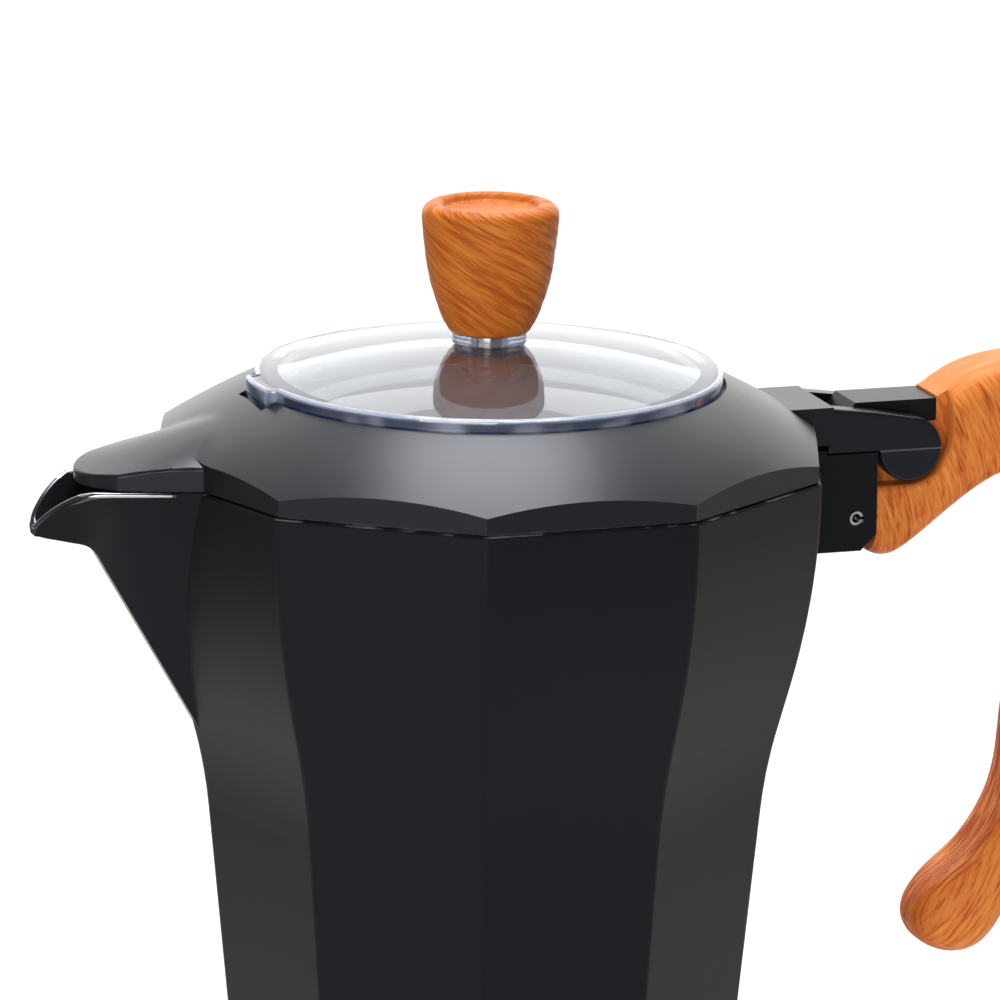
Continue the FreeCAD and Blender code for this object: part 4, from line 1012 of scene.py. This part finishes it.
@dataclass
class Knob(SubAssembly):
    """Turned knob with moulded grain, and the screw that holds it."""

    foot: float = SEAM + 20.4 * MM
    # Outline in mm: radius, and height above the foot.
    profile: Sequence[Span] = (
        (2.05, 0.0), (5.9, 0.0), (6.5, 0.3), (6.95, 1.1), (7.5, 2.1), (8.1, 3.6), (8.65, 5.1),
        (9.15, 6.6), (9.55, 8.1), (9.95, 10.1), (10.25, 12.1), (10.5, 14.1), (10.72, 16.3),
        (10.9, 18.4), (10.85, 19.3), (10.45, 20.05), (9.8, 20.5), (9.0, 20.7), (8.3, 20.68),
        (7.75, 20.45), (7.4, 20.0), (7.2, 19.65), (6.6, 19.52), (5.0, 19.47), (3.0, 19.45),
        (1.5, 19.45), (0.05, 19.45))
    rings: int = 170
    steps: int = 320
    groove: float = 0.14 * MM
    swell: float = 0.1 * MM
    # Noise cells per metre round the knob and along its outline.
    groove_cells: Span = (430.0, 130.0)
    depth_cells: Span = (260.0, 230.0)
    fine_cells: Span = (950.0, 240.0)
    swell_cells: Span = (330.0, 120.0)
    # A groove lies where its noise is within this value of zero. A second noise deepens it over this span.
    groove_half: float = 0.2
    depth_span: Span = (-0.35, 0.25)
    swell_share: float = 0.6
    fine_share: float = 0.5
    # Grain value of plain wood, and what a groove and a swell add to it.
    ground: float = 0.49
    groove_tone: float = 0.12
    swell_tone: float = 0.14
    # The grooves fade where the side turns in at the foot, and from the rim to the dish.
    side_turn: Span = (0.3, 0.95)
    side_top: float = 18.0 * MM
    rim_fade: Span = (8.4 * MM, 10.6 * MM)

    def outline(self) -> list[Span]:
        """Space points evenly along the side of the knob.

        Returns:
            Radius and height of each ring in metres.
        """
        guide = [(radius * MM, 0.0, self.foot + up * MM, 1.0) for radius, up in self.profile]
        mesh = curve_mesh("knob_outline", guide, tube=False)
        spots = [(v.co.x, v.co.z) for v in mesh.vertices]
        bpy.data.meshes.remove(mesh)
        lengths = [0.0]
        for a, b in zip(spots, spots[1:]):
            lengths.append(lengths[-1] + math.dist(a, b))
        even = []
        for i in range(self.rings + 1):
            want = lengths[-1] * i / self.rings
            k = next((n for n in range(1, len(spots)) if lengths[n] >= want), len(spots) - 1)
            share = (want - lengths[k - 1]) / (lengths[k] - lengths[k - 1])
            even.append(tuple(p + (q - p) * share for p, q in zip(spots[k - 1], spots[k])))
        return even

    def grain_at(self, angle: float, run: float) -> Span:
        """Find the moulded grain at a point, following a spiral round the knob.

        Args:
            angle: Angle about the axis.
            run: Distance along the outline from the hole in the foot.

        Returns:
            0 beside a groove to 1 in its middle, and the swell of the wood, from about -1 to 1.
        """
        turn = angle + KNOB_TWIST * run
        u, v = KNOB_GIRTH * math.cos(turn), KNOB_GIRTH * math.sin(turn)
        # Each value is read at its own place in the noise.
        wander, depth, fine, swell = (
            noise.noise(Vector((u * around + place, v * around, run * along)))
            for (around, along), place in ((self.groove_cells, 0.0), (self.depth_cells, 3.0),
                                           (self.fine_cells, 7.0), (self.swell_cells, 11.0)))
        line = smooth_step(0.0, 1.0, 1 - abs(wander) / self.groove_half)
        line *= smooth_step(*self.depth_span, depth)
        return line, self.swell_share * swell + self.fine_share * fine

    def build(self) -> None:
        """Turn the knob with its grooves pressed in along the normals."""
        rows: Grid = []
        grain: list[float] = []
        outline = self.outline()
        run = 0.0
        for i, (radius, z) in enumerate(outline):
            before, after = outline[max(i - 1, 0)], outline[min(i + 1, self.rings)]
            run += math.dist(before, (radius, z))
            way = Vector((after[0] - before[0], after[1] - before[1])).normalized()
            if z < self.foot + self.side_top:
                side = smooth_step(*self.side_turn, way.y)
            else:
                side = smooth_step(*self.rim_fade, radius)
            row = []
            for j in range(self.steps):
                angle = 2 * math.pi * j / self.steps
                deep, swell = self.grain_at(angle, run)
                tone = self.groove_tone * deep + self.swell_tone * swell
                grain.append(self.ground + tone * (0.5 + 0.5 * side))
                press = (self.groove * deep + self.swell * (0.5 + swell)) * side
                shift = radius - way.y * press
                row.append((shift * math.cos(angle), shift * math.sin(angle), z + way.x * press))
            rows.append(row)
        piece = sheet_of("knob_moulding", rows)
        layer = piece.data.attributes.new("grain", "FLOAT", "POINT")
        layer.data.foreach_set("value", grain)
        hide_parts("knob")
        put_on(piece, "lid", WoodFilm(GrainFlow.SPIRAL, pale="#d88434", heart="#b95c1b",
                                                   share=0.6, soft=(0.48, 0.76)))

    def dress(self) -> None:
        """Finish the screw and its sleeve."""
        dress_node("knob_screw", STEEL)
        dress_node("knob_insert", BRASS)


@dataclass
class Handle(SubAssembly):
    """Curved grip."""

    def dress(self) -> None:
        """Print the wood film."""
        dress_node("handle", WoodFilm(GrainFlow.SWIRL))


@dataclass(frozen=True)
class SoftBox:
    """A lamp with an evenly lit face.

    Places are seen from the camera's side, in metres: right, away, up. A glow of 1 is the
    brightness of white paper in full light.
    """

    name: str
    place: Point
    target: Point
    size: Span
    glow: float

    def hang(self, turn: Matrix) -> None:
        """Hang the lamp.

        Args:
            turn: Turn from the camera's side to the pot's own axes.
        """
        data = bpy.data.lights.new(self.name, "AREA")
        data.shape = "RECTANGLE"
        data.size, data.size_y = self.size
        data.energy = self.glow * math.pi * data.size * data.size_y
        box = bpy.data.objects.new(self.name, data)
        bpy.context.scene.collection.objects.link(box)
        aim = (Vector(self.target) - Vector(self.place)).to_track_quat("-Z", "Y")
        box.matrix_world = turn @ Matrix.Translation(Vector(self.place)) @ aim.to_matrix().to_4x4()


@dataclass
class Studio:
    """Pale table, soft light and the camera."""

    azimuth: float = -18.0
    elevation: float = 13.0
    roll: float = -0.6
    distance: float = 1267.7 * MM
    aim: Point = (0.0, 0.0, SEAM)
    lens_mm: float = 288.0
    sensor_mm: float = 36.0
    clip_end: float = 20.0
    # The aim point lies this far from the middle of a picture of this width.
    picture_px: float = 1000.0
    shift_px: Span = (-12.4, -43.3)
    table_half: float = 6.0
    world_colour: str = "#ffffff"
    world_strength: float = 0.34
    lamps: Sequence[SoftBox] = (
        SoftBox("backdrop", (0.0, 2.1, 0.9), (0.0, 0.0, 0.5), (3.2, 1.8), 1.5),
        SoftBox("back_top", (0.0, 0.76, 0.95), (0.0, 0.76, 0.0), (1.1, 0.88), 1.5),
        SoftBox("overhead", (0.0, 0.15, 0.77), (0.0, 0.0, 0.15), (0.3, 0.3), 14.0),
        SoftBox("front", (-0.45, -1.7, 0.4), (0.0, 0.0, 0.15), (1.2, 0.6), 6.8))

    def camera(self, turn: Matrix) -> None:
        """Place the camera by its angles about the aim point.

        Args:
            turn: Turn from the camera's side to the pot's own axes.
        """
        data = bpy.data.cameras.new("view")
        data.lens = self.lens_mm
        data.sensor_width = self.sensor_mm
        data.clip_end = self.clip_end
        seen = bpy.data.objects.new("view", data)
        bpy.context.scene.collection.objects.link(seen)
        stand = turn @ Matrix.Rotation(math.radians(90 - self.elevation), 4, "X")
        focal_px = self.picture_px * self.lens_mm / self.sensor_mm
        pan, tilt = (math.atan2(shift, focal_px) for shift in self.shift_px)
        trim = (Matrix.Rotation(pan, 4, "Y") @ Matrix.Rotation(tilt, 4, "X")
                @ Matrix.Rotation(math.radians(-self.roll), 4, "Z"))
        away = stand @ Vector((0.0, 0.0, self.distance))
        seen.matrix_world = Matrix.Translation(Vector(self.aim) + away) @ stand @ trim
        bpy.context.scene.camera = seen

    def build(self) -> None:
        """Lay the table, hang the lamps, set the surroundings and place the camera."""
        turn = Matrix.Rotation(math.radians(self.azimuth), 4, "Z")
        half = self.table_half
        rows: Grid = [[(-half, y, 0.0), (half, y, 0.0)] for y in (half, -half)]
        table = sheet_of("table", rows, wrap=False)
        table.data.materials.append(PaleTable().material())
        table.matrix_world = turn
        for lamp in self.lamps:
            lamp.hang(turn)
        world = bpy.data.worlds.new("studio")
        world.use_nodes = True
        feed(world.node_tree, world.node_tree.nodes["Background"],
             {"Color": linear(self.world_colour), "Strength": self.world_strength})
        bpy.context.scene.world = world
        bpy.context.scene.view_settings.view_transform = "Standard"
        self.camera(turn)


def main() -> None:
    """Set the studio, then build and dress the sub-assemblies in order."""
    logging.basicConfig(level=logging.INFO, format="%(name)s: %(message)s")
    Studio().build()
    for part in (Boiler(), Collector(), Lid(), Knob(), Handle(), Filter(), SafetyValve()):
        part.build()
        part.dress()


if __name__ == "__main__":
    main()
